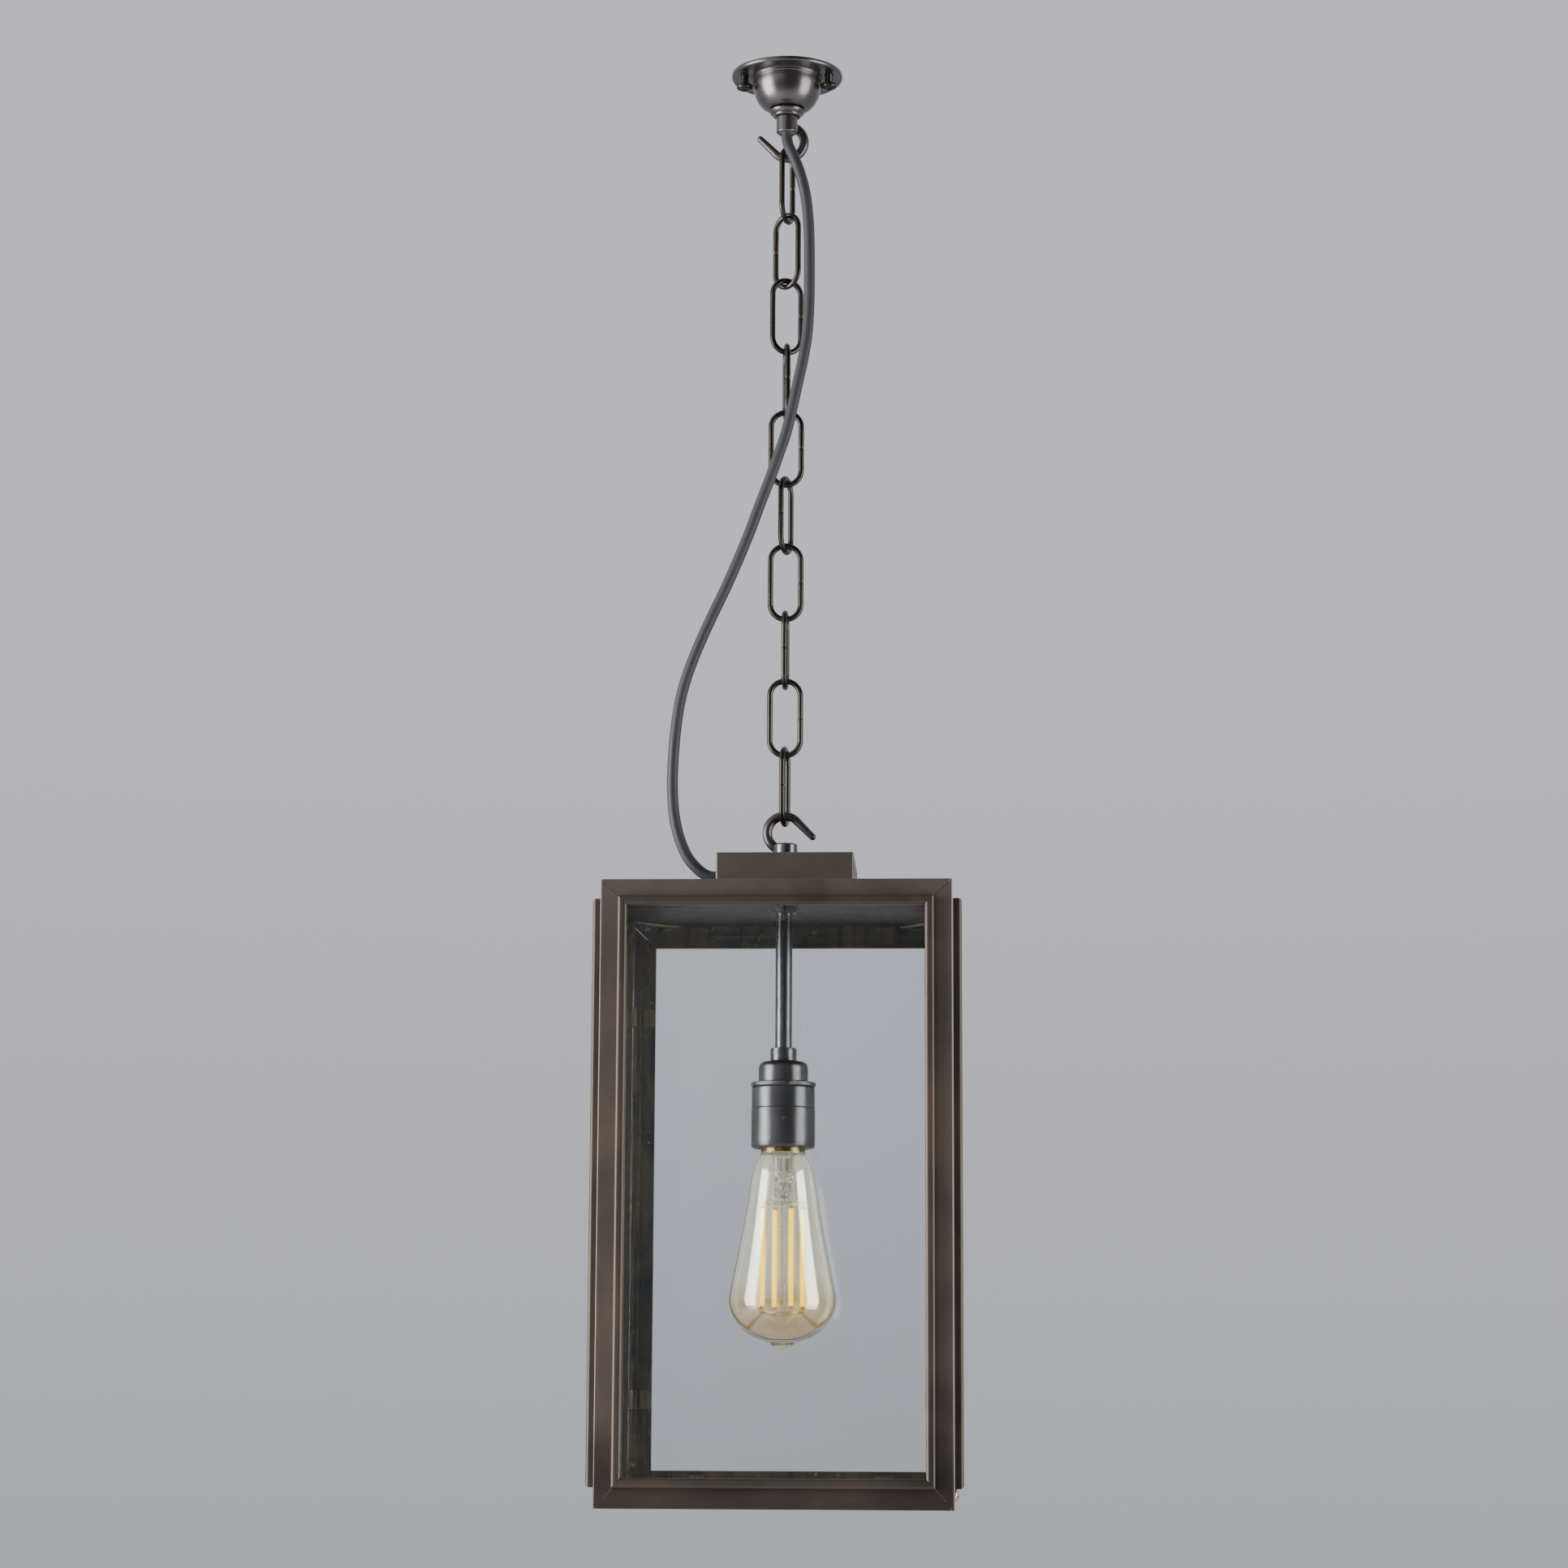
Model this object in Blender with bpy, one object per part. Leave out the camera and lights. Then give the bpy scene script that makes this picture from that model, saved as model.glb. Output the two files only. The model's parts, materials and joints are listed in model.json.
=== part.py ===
"""Hanging lantern: a square glazed brass lantern on a ten-link chain, with ceiling plate, cable and bulb.

Metres, +Z up. The origin is the centre of the ceiling plate's face against the ceiling, so everything
hangs below z = 0. The lantern, the chain and both hooks' loops lie on one plumb load line.
"""

import math

import bmesh
import bpy
from mathutils import Matrix, Vector

GAP = 0.0003  # left between pieces that touch

# Load line, behind the cable collar's axis
LOAD_X, LOAD_Y = 0.0, 0.008

# Ceiling end
FLANGE_R, FLANGE_T, FLANGE_RIM_T = 0.0345, 0.0018, 0.0026
DOME_R, DOME_NECK_R, DOME_TOP, DOME_BOTTOM, DOME_WALL = 0.0214, 0.0105, -0.0042, -0.0222, 0.0012
STEP_R, STEP_H = (0.0105, 0.0075), (0.0034, 0.0014)
COLLAR_R, COLLAR_BORE_R, COLLAR_END = 0.00665, 0.0042, -0.0380
WIRE_WAY_R = 0.0045
GRIP_TOP = -0.0300
BLOCK_SIZE, BLOCK_Z = (0.0150, 0.0090, 0.0080), -0.0115
SCREW_X, SCREW_Y, SCREW_SHANK_R, SCREW_HEAD_R, SCREW_STANDOFF = 0.0262, -0.0060, 0.0025, 0.0050, 0.0082

# Hooks
HOOK_R, HOOK_WIRE_R, HOOK_TIP_R = 0.0104, 0.00295, 0.00205
HOOK_LOW = -0.05105  # centre of the wire at the bottom of the top hook's loop
HOOK_START_DEG, HOOK_LEAVE_DEG, HOOK_TIP_RUN = 105, -136.5, 0.0149

# Chain
LINK_COUNT = 10
LINK_WIRE_R, LINK_BEND_R, LINK_REACH = 0.00175, 0.00925, 0.04595  # the reach runs between wire centres
LINK_TURNS_DEG = (72, -39, 23, 97, 3, 73.5, 3, 88, 3, 82)  # each link's plane, about the plumb line

# Lantern
BOSS_R, BOSS_H, BOSS_X, BOSS_Y = 0.0071, 0.0098, 0.0010, -0.005
CAP_X, CAP_TOP, CAP_W, CAP_H, CAP_WALL = 0.0020, -0.4943, 0.0817, 0.0244, 0.0015
CABLE_ENTRY_Z, GROMMET_R, GROMMET_LIP_R, GROMMET_OUT = -0.5035, 0.0046, 0.0060, 0.0025
BOX_TOP, BOX_BOTTOM, BOX_W, SHEET = -0.5190, -0.8740, 0.202, 0.0016
FLAT_SIDE, FLAT_TOP, FLAT_BOTTOM, MITRE_GAP = 0.0158, 0.0154, 0.0170, 0.0005
BEAD_W, BEAD_H, BEAD_ROUND = 0.0055, 0.0051, 0.0020
PANE_T, PANE_W, PANE_MARGIN = 0.0026, 0.188, 0.0070
GUSSET_LEG, GUSSET_T = 0.028, 0.0016
PANE_SCREW_R, PANE_SCREW_H = 0.0038, 0.0024

# Lampholder and bulb, by height
ROD_R, ROD_BORE_R, ROD_TOP, ROD_BOTTOM = 0.0050, 0.0034, -0.5120, -0.6145
NUT_R, NUT_H = 0.0085, 0.0050
HOLDER_TOP, HOLDER_DOME, HOLDER_RING, HOLDER_BODY = -0.6070, -0.6150, -0.6273, -0.6303
HOLDER_SKIRT, HOLDER_END = -0.6428, -0.6667
HOLDER_NECK_R, HOLDER_DOME_R, HOLDER_SHOULDER_R = 0.0078, 0.0147, 0.0038
HOLDER_RING_R, HOLDER_RING_BORE_R = 0.0193, 0.012
HOLDER_BODY_R, HOLDER_BODY_BORE_R = 0.0188, 0.0162
HOLDER_SKIRT_R, HOLDER_SKIRT_BORE_R = 0.0190, 0.0147
INSERT_R = 0.0158
BASE_TOP, BASE_R = -0.6405, 0.01325
GLASS_TOP, GLASS_TIP, GLASS_R, GLASS_WALL = -0.6693, -0.7850, 0.0320, 0.0009
STEM_END, FILAMENT_TOP, FILAMENT_LOW = -0.6960, -0.6985, -0.7636
FILAMENT_COUNT, FILAMENT_R, FILAMENT_TURN_DEG = 4, 0.0009, 25
CAGE_R, CAGE_RING_W, CAGE_RING_T = 0.01285, 0.0016, 0.0010

# Cable: the points its centre line runs through, from the collar down to the cap's left wall
CABLE_R, CABLE_STEP, CABLE_STUB = 0.0034, 0.0125, 0.003
CABLE_ROUTE = (
    (0.0000, 0.0000, -0.0380), (0.0001, -0.0001, -0.0411), (0.0011, -0.0012, -0.0460),
    (0.0042, -0.0033, -0.0535), (0.0086, -0.0048, -0.0655), (0.0121, -0.0056, -0.0805),
    (0.0140, -0.0060, -0.0997), (0.0145, -0.0062, -0.1217), (0.0144, -0.0066, -0.1490),
    (0.0132, -0.0074, -0.1700), (0.0106, -0.0080, -0.1867), (0.0077, -0.0085, -0.2005),
    (0.0047, -0.0089, -0.2150), (0.0009, -0.0090, -0.2315), (-0.0038, -0.0087, -0.2457),
    (-0.0087, -0.0083, -0.2598), (-0.0150, -0.0076, -0.2763), (-0.0226, -0.0067, -0.2969),
    (-0.0340, -0.0051, -0.3240), (-0.0460, -0.0036, -0.3495), (-0.0544, -0.0021, -0.3688),
    (-0.0609, -0.0007, -0.3873), (-0.0648, 0.0006, -0.4058), (-0.0671, 0.0022, -0.4283),
    (-0.0678, 0.0037, -0.4481), (-0.0667, 0.0051, -0.4652), (-0.0636, 0.0062, -0.4795),
    (-0.0585, 0.0070, -0.4913), (-0.0525, 0.0076, -0.4984), (-0.0488, 0.0079, -0.5013),
    (-0.0452, 0.0080, -0.5030), (-0.0418, 0.0080, -0.5035),
)

LINK_SPACING = 2 * LINK_WIRE_R + GAP  # between the wire centres of two links where they bear
FIRST_SPACING = HOOK_WIRE_R + LINK_WIRE_R + GAP
LINK_PITCH = LINK_REACH - LINK_SPACING
CHAIN_END = HOOK_LOW + FIRST_SPACING - LINK_REACH - (LINK_COUNT - 1) * LINK_PITCH
LOWER_HOOK_TOP = CHAIN_END + FIRST_SPACING
HALF_BOX = BOX_W / 2
SIDES = ("front", "right", "back", "left")
CORNERS = ("front_right", "back_right", "back_left", "front_left")


def clear_scene():
    for obj in list(bpy.data.objects):
        bpy.data.objects.remove(obj, do_unlink=True)


def finish_of(name, colour, roughness, metallic):
    material = bpy.data.materials.new(name)
    material.use_nodes = True
    shader = material.node_tree.nodes["Principled BSDF"]
    shader.inputs["Base Color"].default_value = (*colour, 1.0)
    shader.inputs["Roughness"].default_value = roughness
    shader.inputs["Metallic"].default_value = metallic
    return material


def make_finishes():
    return {
        "bronze": finish_of("dark_bronze", (0.075, 0.060, 0.045), 0.42, 0.9),
        "brass": finish_of("weathered_brass", (0.160, 0.120, 0.080), 0.45, 0.9),
        "gunmetal": finish_of("gunmetal", (0.090, 0.080, 0.070), 0.35, 0.9),
        "bright_brass": finish_of("bright_brass", (0.600, 0.420, 0.180), 0.30, 1.0),
        "glass": finish_of("clear_glass", (0.850, 0.900, 0.880), 0.05, 0.0),
        "flex": finish_of("grey_flex", (0.060, 0.062, 0.066), 0.70, 0.0),
        "plastic": finish_of("white_plastic", (0.700, 0.700, 0.680), 0.45, 0.0),
        "ceramic": finish_of("ceramic", (0.780, 0.760, 0.720), 0.30, 0.0),
        "filament": finish_of("yellow_filament", (0.950, 0.620, 0.120), 0.50, 0.0),
    }


def add_mesh(name, mesh, finish, place=(0, 0, 0), parent=None, turn_z=0.0):
    """One named object from a mesh. place is in the world, also under a parent (parents aren't turned)."""
    obj = bpy.data.objects.new(name, mesh)
    if finish.name not in mesh.materials:
        mesh.materials.append(finish)
    bpy.context.collection.objects.link(obj)
    stand(obj, place, parent)
    obj.rotation_euler.z = turn_z
    return obj


def stand(obj, place, parent):
    obj.parent = parent
    obj.location = Vector(place) - (world_place(parent) if parent else Vector())


def world_place(obj):
    return obj.location + (world_place(obj.parent) if obj.parent else Vector())


def add_pivot(name, place, parent=None):
    pivot = bpy.data.objects.new(name, None)
    bpy.context.collection.objects.link(pivot)
    stand(pivot, place, parent)
    return pivot


def mesh_from(work, name, round_piece=False):
    bmesh.ops.recalc_face_normals(work, faces=work.faces)
    mesh = bpy.data.meshes.new(name)
    work.to_mesh(mesh)
    work.free()
    if round_piece:
        mesh.shade_smooth()
        mesh.set_sharp_from_angle(angle=math.radians(35))
    return mesh


def turned(name, outline, segments=24):
    """A closed (radius, height) outline turned about Z."""
    work = bmesh.new()
    points = [work.verts.new((r, 0, z)) for r, z in outline]
    edges = [work.edges.new((a, b)) for a, b in zip(points, points[1:] + points[:1])]
    bmesh.ops.spin(
        work, geom=points + edges, cent=(0, 0, 0), axis=(0, 0, 1),
        angle=2 * math.pi, steps=segments, use_merge=True,
    )
    bmesh.ops.remove_doubles(work, verts=work.verts, dist=1e-6)
    bmesh.ops.dissolve_degenerate(work, edges=work.edges, dist=1e-7)
    return mesh_from(work, name, round_piece=True)


def solid_outline(outer):
    """Closes an outer outline that starts and ends away from the axis, straight through the axis."""
    return [(0, outer[0][1]), *outer, (0, outer[-1][1])]


def pin_outline(radius, top, bottom):
    return solid_outline([(radius, top), (radius, bottom)])


def swept(name, centres, radii, sides, closed=False):
    """A round bar along points that lie in the local XZ plane."""
    work = bmesh.new()
    count = len(centres)
    rings = []
    for i, (centre, radius) in enumerate(zip(centres, radii)):
        before = centres[(i - 1) % count] if closed or i else centres[0]
        after = centres[(i + 1) % count] if closed or i < count - 1 else centres[-1]
        along = (Vector(after) - Vector(before)).normalized()
        across = along.cross(Vector((0, 1, 0)))
        rings.append([
            work.verts.new(
                Vector(centre)
                + radius * math.cos(2 * math.pi * k / sides) * across
                + radius * math.sin(2 * math.pi * k / sides) * Vector((0, 1, 0))
            )
            for k in range(sides)
        ])
    pairs = list(zip(rings, rings[1:]))
    if closed:
        pairs.append((rings[-1], rings[0]))
    else:
        work.faces.new(rings[0])
        work.faces.new(rings[-1])
    for ring, following in pairs:
        for k in range(sides):
            nxt = (k + 1) % sides
            work.faces.new((ring[k], ring[nxt], following[nxt], following[k]))
    return mesh_from(work, name, round_piece=True)


def prism(name, outline, thickness):
    """An outline in the local XZ plane, from y = 0 back to y = thickness."""
    work = bmesh.new()
    face = work.faces.new([work.verts.new((x, 0, z)) for x, z in outline])
    made = bmesh.ops.extrude_face_region(work, geom=[face])
    moved = [v for v in made["geom"] if isinstance(v, bmesh.types.BMVert)]
    bmesh.ops.translate(work, vec=(0, thickness, 0), verts=moved)
    return mesh_from(work, name)


def slab(name, size, bevel=0.0):
    """A box about its own middle, with its edges rounded by bevel."""
    work = bmesh.new()
    bmesh.ops.create_cube(work, size=1.0, matrix=Matrix.Diagonal((*size, 1.0)))
    if bevel:
        bmesh.ops.bevel(
            work, geom=list(work.edges), offset=bevel, segments=2, profile=0.5, affect="EDGES"
        )
    return mesh_from(work, name)


def arc(centre, radius, start_deg, end_deg, steps):
    """(x, z) points along an arc, both ends included."""
    angles = [math.radians(start_deg + (end_deg - start_deg) * i / steps) for i in range(steps + 1)]
    return [(centre[0] + radius * math.cos(a), centre[1] + radius * math.sin(a)) for a in angles]


def bored(obj, cutters):
    for cutter in cutters:
        cutter.hide_render = True
        cutter.display_type = "WIRE"
        cut = obj.modifiers.new("hole", "BOOLEAN")
        cut.operation = "DIFFERENCE"
        cut.object = cutter


def joined(obj, other):
    """Brazes a hidden guide solid onto an object."""
    other.hide_render = True
    other.display_type = "WIRE"
    join = obj.modifiers.new("brazed", "BOOLEAN")
    join.operation = "UNION"
    join.object = other


# Ceiling end


def ceiling_plate_outline():
    """A flat flange with a turned rim, and a bowl-shaped dome with a floor for the cable."""
    bowl_r, bowl_h = DOME_R - DOME_NECK_R, DOME_TOP - DOME_BOTTOM
    quarter = [math.radians(15 * i) for i in range(7)]
    outer = [(DOME_NECK_R + bowl_r * math.cos(a), DOME_TOP - bowl_h * math.sin(a)) for a in quarter]
    inner = [
        (DOME_NECK_R + (bowl_r - DOME_WALL) * math.cos(a), DOME_TOP - (bowl_h - DOME_WALL) * math.sin(a))
        for a in quarter
    ]
    return [
        (FLANGE_R, 0),
        (FLANGE_R, -FLANGE_RIM_T * 0.6),
        (FLANGE_R - 0.0008, -FLANGE_RIM_T),
        (FLANGE_R - 0.0024, -FLANGE_T),
        (DOME_R + 0.0012, -FLANGE_T),
        *outer,
        (WIRE_WAY_R, DOME_BOTTOM),
        (WIRE_WAY_R, DOME_BOTTOM + DOME_WALL),
        *reversed(inner),
        (DOME_R - DOME_WALL, 0),
    ]


def hook_centres(mirrored=False):
    """The hook's centre line about its loop's own centre: a loop and a straight tip."""
    points = arc((0, 0), HOOK_R, HOOK_START_DEG, HOOK_LEAVE_DEG, 20)
    leave = math.radians(HOOK_LEAVE_DEG)
    tangent = (math.sin(leave), -math.cos(leave))
    for share in (0.34, 0.67, 0.93, 1.0):
        run = HOOK_TIP_RUN * share
        points.append((points[20][0] + tangent[0] * run, points[20][1] + tangent[1] * run))
    sign = -1 if mirrored else 1
    return [(sign * x, 0, sign * z) for x, z in points]


def hook_radii():
    """Full wire round the loop, tapering along the lower third to a rounded tip."""
    body = [HOOK_WIRE_R] * 12
    taper = [HOOK_WIRE_R + (HOOK_TIP_R - HOOK_WIRE_R) * (i + 1) / 12 for i in range(12)]
    return body + taper + [HOOK_TIP_R * 0.6]


def add_ceiling_end(finish):
    plate = add_mesh("ceiling_plate", turned("ceiling_plate", ceiling_plate_outline()), finish["bronze"])
    screw_ways = [
        add_mesh(
            f"screw_way_{side}",
            turned("screw_way", pin_outline(SCREW_SHANK_R + GAP, 0.002, -0.005), 12),
            finish["bronze"],
            (x, SCREW_Y, 0),
        )
        for side, x in (("left", -SCREW_X), ("right", SCREW_X))
    ]
    bored(plate, screw_ways)

    step_top = DOME_BOTTOM - GAP
    steps = turned(
        "stepped_washer",
        [
            (STEP_R[0] - 0.0006, 0),
            (STEP_R[0], -0.0006),
            (STEP_R[0], -STEP_H[0] + 0.0006),
            (STEP_R[0] - 0.0006, -STEP_H[0]),
            (STEP_R[1], -STEP_H[0]),
            (STEP_R[1], -STEP_H[0] - STEP_H[1]),
            (WIRE_WAY_R, -STEP_H[0] - STEP_H[1]),
            (WIRE_WAY_R, 0),
        ],
    )
    add_mesh("stepped_washer", steps, finish["bronze"], (0, 0, step_top))

    collar_top = step_top - sum(STEP_H) - GAP
    collar_h = collar_top - COLLAR_END
    collar = turned(
        "cable_collar",
        [
            (COLLAR_R, 0),
            (COLLAR_R, -collar_h + 0.0009),
            (COLLAR_R - 0.0009, -collar_h),
            (COLLAR_BORE_R, -collar_h),
            (COLLAR_BORE_R, 0),
        ],
        24,
    )
    collar = add_mesh("cable_collar", collar, finish["bronze"], (0, 0, collar_top))
    hook = swept("top_hook", hook_centres(), hook_radii(), 10)
    joined(collar, add_mesh("top_hook", hook, finish["bronze"], (LOAD_X, LOAD_Y, HOOK_LOW + HOOK_R)))

    grip_outline = pin_outline(COLLAR_BORE_R - GAP, GRIP_TOP, CABLE_ROUTE[0][2] + 2 * GAP)
    add_mesh("cord_grip", turned("cord_grip", grip_outline, 16), finish["plastic"])
    block = slab("terminal_block", BLOCK_SIZE, 0.0006)
    add_mesh("terminal_block", block, finish["plastic"], (0, 0, BLOCK_Z))

    for side, x in (("left", -SCREW_X), ("right", SCREW_X)):
        screw = turned(
            f"fixing_screw_{side}",
            solid_outline([
                (SCREW_SHANK_R, -GAP),
                (SCREW_SHANK_R, -SCREW_STANDOFF),
                (SCREW_HEAD_R, -SCREW_STANDOFF),
                (SCREW_HEAD_R, -SCREW_STANDOFF - 0.0014),
                (SCREW_HEAD_R * 0.8, -SCREW_STANDOFF - 0.0028),
                (SCREW_HEAD_R * 0.4, -SCREW_STANDOFF - 0.0035),
            ]),
            16,
        )
        add_mesh(f"fixing_screw_{side}", screw, finish["bronze"], (x, SCREW_Y, 0))


# Chain


def link_centres(bear):
    """An oval link about its bearing point: the top bend's wire centre stands bear above it."""
    top = bear - LINK_BEND_R
    bottom = bear - LINK_REACH + LINK_BEND_R
    points = arc((0, top), LINK_BEND_R, 180, 0, 9) + [(LINK_BEND_R, (top + bottom) / 2)]
    points += arc((0, bottom), LINK_BEND_R, 0, -180, 9) + [(-LINK_BEND_R, (top + bottom) / 2)]
    return [(x, 0, z) for x, z in points]


def add_chain(finish):
    """Each link's origin is on its joint: the centre of the wire that it hangs on."""
    hang = HOOK_LOW
    for number, turn in enumerate(LINK_TURNS_DEG, 1):
        bear = FIRST_SPACING if number == 1 else LINK_SPACING
        centres = link_centres(bear)
        name = f"link_{number:02d}"
        mesh = swept(name, centres, [LINK_WIRE_R] * len(centres), 8, closed=True)
        add_mesh(name, mesh, finish["bronze"], (LOAD_X, LOAD_Y, hang), turn_z=math.radians(turn))
        hang += bear - LINK_REACH


# Lantern


def add_hanger(finish, pivot):
    boss_top = CAP_TOP + GAP + BOSS_H
    boss = turned(
        "lower_hook",
        solid_outline([(BOSS_R - 0.0008, 0), (BOSS_R, -0.0008), (BOSS_R, -BOSS_H)]),
        24,
    )
    boss_place = (LOAD_X + BOSS_X, LOAD_Y + BOSS_Y, boss_top)
    boss = add_mesh("lower_hook", boss, finish["bronze"], boss_place, pivot)
    hook = swept("lower_hook_loop", hook_centres(mirrored=True), hook_radii(), 10)
    place = (LOAD_X, LOAD_Y, LOWER_HOOK_TOP - HOOK_R)
    joined(boss, add_mesh("lower_hook_loop", hook, finish["bronze"], place, pivot))


def add_cap(finish, pivot):
    """A square sheet box, open below, with a round way for the cable in its left wall."""
    middle_x = LOAD_X + CAP_X
    cap = add_mesh(
        "cap", slab("cap", (CAP_W, CAP_W, CAP_H), CAP_WALL), finish["brass"],
        (middle_x, LOAD_Y, CAP_TOP - CAP_H / 2), pivot,
    )
    inside = CAP_W - 2 * CAP_WALL
    hollow = add_mesh(
        "cap_hollow", slab("cap_hollow", (inside, inside, CAP_H)), finish["brass"],
        (middle_x, LOAD_Y, CAP_TOP - CAP_WALL - CAP_H / 2), pivot,
    )
    entry = (middle_x - CAP_W / 2, LOAD_Y, CABLE_ENTRY_Z)
    way_outline = pin_outline(GROMMET_R + GAP, 0.004, -0.004)
    way = add_mesh("cable_way", turned("cable_way", way_outline, 16), finish["brass"], entry, pivot)
    way.rotation_euler.y = math.pi / 2
    bored(cap, [hollow, way])

    grommet = turned(
        "cable_grommet",
        solid_outline([
            (GROMMET_LIP_R - 0.0012, -GROMMET_OUT),
            (GROMMET_LIP_R, -0.0014),
            (GROMMET_LIP_R, -GAP),
            (GROMMET_R, -GAP),
            (GROMMET_R, CAP_WALL + 0.001),
        ]),
        16,
    )
    grommet = add_mesh("cable_grommet", grommet, finish["flex"], entry, pivot)
    grommet.rotation_euler.y = math.pi / 2


def post_mesh():
    """An angle with its heel at x = y = 0, arms along -X and +Y, and both ends cut to the rails' mitres."""
    slack = MITRE_GAP / 2
    stub = SHEET + slack
    height = BOX_TOP - BOX_BOTTOM
    levels = (
        (0, stub),
        (-stub - slack, stub),
        (-FLAT_TOP - slack, FLAT_SIDE),
        (-height + FLAT_BOTTOM + slack, FLAT_SIDE),
        (-height + stub + slack, stub),
        (-height, stub),
    )
    work = bmesh.new()
    rings = []
    for z, arm in levels:
        section = ((0, 0), (-arm, 0), (-arm, SHEET), (-SHEET, SHEET), (-SHEET, arm), (0, arm))
        rings.append([work.verts.new((x, y, z)) for x, y in section])
    work.faces.new(rings[0])
    work.faces.new(rings[-1])
    for ring, following in zip(rings, rings[1:]):
        for k in range(6):
            nxt = (k + 1) % 6
            work.faces.new((ring[k], ring[nxt], following[nxt], following[k]))
    return mesh_from(work, "corner_post")


def rail_outline(width):
    """A flat bar's outline about its own middle, its long edge at z = 0 and its mitred ends below."""
    long_half = HALF_BOX - SHEET - MITRE_GAP
    short_half = HALF_BOX - FLAT_SIDE - MITRE_GAP
    return [
        (-long_half, 0), (long_half, 0), (long_half, -SHEET),
        (short_half, -width), (-short_half, -width), (-long_half, -SHEET),
    ]


def bead_mesh():
    """A proud rounded moulding, mitred round the opening, about the box's axis at the box's top."""
    outer_x = HALF_BOX - FLAT_SIDE + BEAD_W
    outer_top, outer_bottom = -FLAT_TOP + BEAD_W, BOX_BOTTOM - BOX_TOP + FLAT_BOTTOM - BEAD_W
    shoulder_h = BEAD_H - BEAD_ROUND
    section = [
        (0.0, 0.0),
        *arc((BEAD_ROUND, shoulder_h), BEAD_ROUND, 180, 90, 4),
        *arc((BEAD_W - BEAD_ROUND, shoulder_h), BEAD_ROUND, 90, 0, 4),
        (BEAD_W, 0.0),
    ]
    work = bmesh.new()
    rings = []
    for side_x, top in ((-1, True), (1, True), (1, False), (-1, False)):
        rings.append([
            work.verts.new((
                side_x * (outer_x - across),
                -HALF_BOX - GAP - proud,
                outer_top - across if top else outer_bottom + across,
            ))
            for across, proud in section
        ])
    for i, ring in enumerate(rings):
        following = rings[(i + 1) % 4]
        for k in range(len(section)):
            nxt = (k + 1) % len(section)
            work.faces.new((ring[k], ring[nxt], following[nxt], following[k]))
    return mesh_from(work, "glazing_bead")


def add_box(finish, pivot):
    """The soldered frame, its panes and its roof. The four sides are turned copies of the front one."""
    top = (LOAD_X, LOAD_Y, BOX_TOP)
    height = BOX_TOP - BOX_BOTTOM
    post = post_mesh()
    post.transform(Matrix.Translation((HALF_BOX, -HALF_BOX, 0)))
    top_rail = prism("top_rail", rail_outline(FLAT_TOP), SHEET)
    top_rail.transform(Matrix.Translation((0, -HALF_BOX, 0)))
    upside_down = [(x, -z) for x, z in rail_outline(FLAT_BOTTOM)]
    bottom_rail = prism("bottom_rail", upside_down, SHEET)
    bottom_rail.transform(Matrix.Translation((0, -HALF_BOX, -height)))
    pane = slab("glass_pane", (PANE_W, PANE_T, height - FLAT_TOP - FLAT_BOTTOM + 2 * PANE_MARGIN))
    pane_middle = (-FLAT_TOP - height + FLAT_BOTTOM) / 2
    pane.transform(Matrix.Translation((0, -HALF_BOX + SHEET + GAP + PANE_T / 2, pane_middle)))
    bead = bead_mesh()
    reach = HALF_BOX - SHEET - PANE_T - 3 * GAP
    gusset_outline = [(reach, -reach), (reach, GUSSET_LEG - reach), (reach - GUSSET_LEG, -reach)]
    gusset = prism("roof_gusset", gusset_outline, GUSSET_T)
    lie_flat = Matrix.Translation((0, 0, -SHEET - GAP)) @ Matrix.Rotation(-math.pi / 2, 4, "X")
    gusset.transform(Matrix.Scale(-1, 4, (0, 0, 1)))
    gusset.flip_normals()
    gusset.transform(lie_flat)
    for number, (side, corner) in enumerate(zip(SIDES, CORNERS)):
        turn = number * math.pi / 2
        add_mesh(f"corner_post_{corner}", post, finish["brass"], top, pivot, turn)
        add_mesh(f"top_rail_{side}", top_rail, finish["brass"], top, pivot, turn)
        add_mesh(f"bottom_rail_{side}", bottom_rail, finish["brass"], top, pivot, turn)
        add_mesh(f"glass_pane_{side}", pane, finish["glass"], top, pivot, turn)
        add_mesh(f"glazing_bead_{side}", bead, finish["brass"], top, pivot, turn)
        add_mesh(f"roof_gusset_{corner}", gusset, finish["brass"], top, pivot, turn)

    roof_w = BOX_W - 2 * (SHEET + GAP)
    roof = add_mesh(
        "roof_plate", slab("roof_plate", (roof_w, roof_w, SHEET)), finish["brass"],
        (LOAD_X, LOAD_Y, BOX_TOP - SHEET / 2), pivot,
    )
    rod_way = turned("rod_way", pin_outline(ROD_R + GAP, 0.004, -0.004), 24)
    bored(roof, [add_mesh("rod_way", rod_way, finish["brass"], top, pivot)])

    screw = turned(
        "pane_screw",
        solid_outline([
            (PANE_SCREW_R * 0.45, PANE_SCREW_H),
            (PANE_SCREW_R * 0.82, PANE_SCREW_H * 0.72),
            (PANE_SCREW_R, PANE_SCREW_H * 0.25),
            (PANE_SCREW_R, GAP),
        ]),
        16,
    )
    screw = add_mesh(
        "pane_screw", screw, finish["bright_brass"],
        (LOAD_X + HALF_BOX, LOAD_Y, BOX_BOTTOM + (FLAT_BOTTOM - BEAD_W) / 2), pivot,
    )
    screw.rotation_euler.y = math.pi / 2


# Lampholder and bulb


def ring_outline(outer, inner_r, top, bottom):
    """An outer outline closed by a straight bore."""
    return [*outer, (inner_r, bottom), (inner_r, top)]


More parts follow.
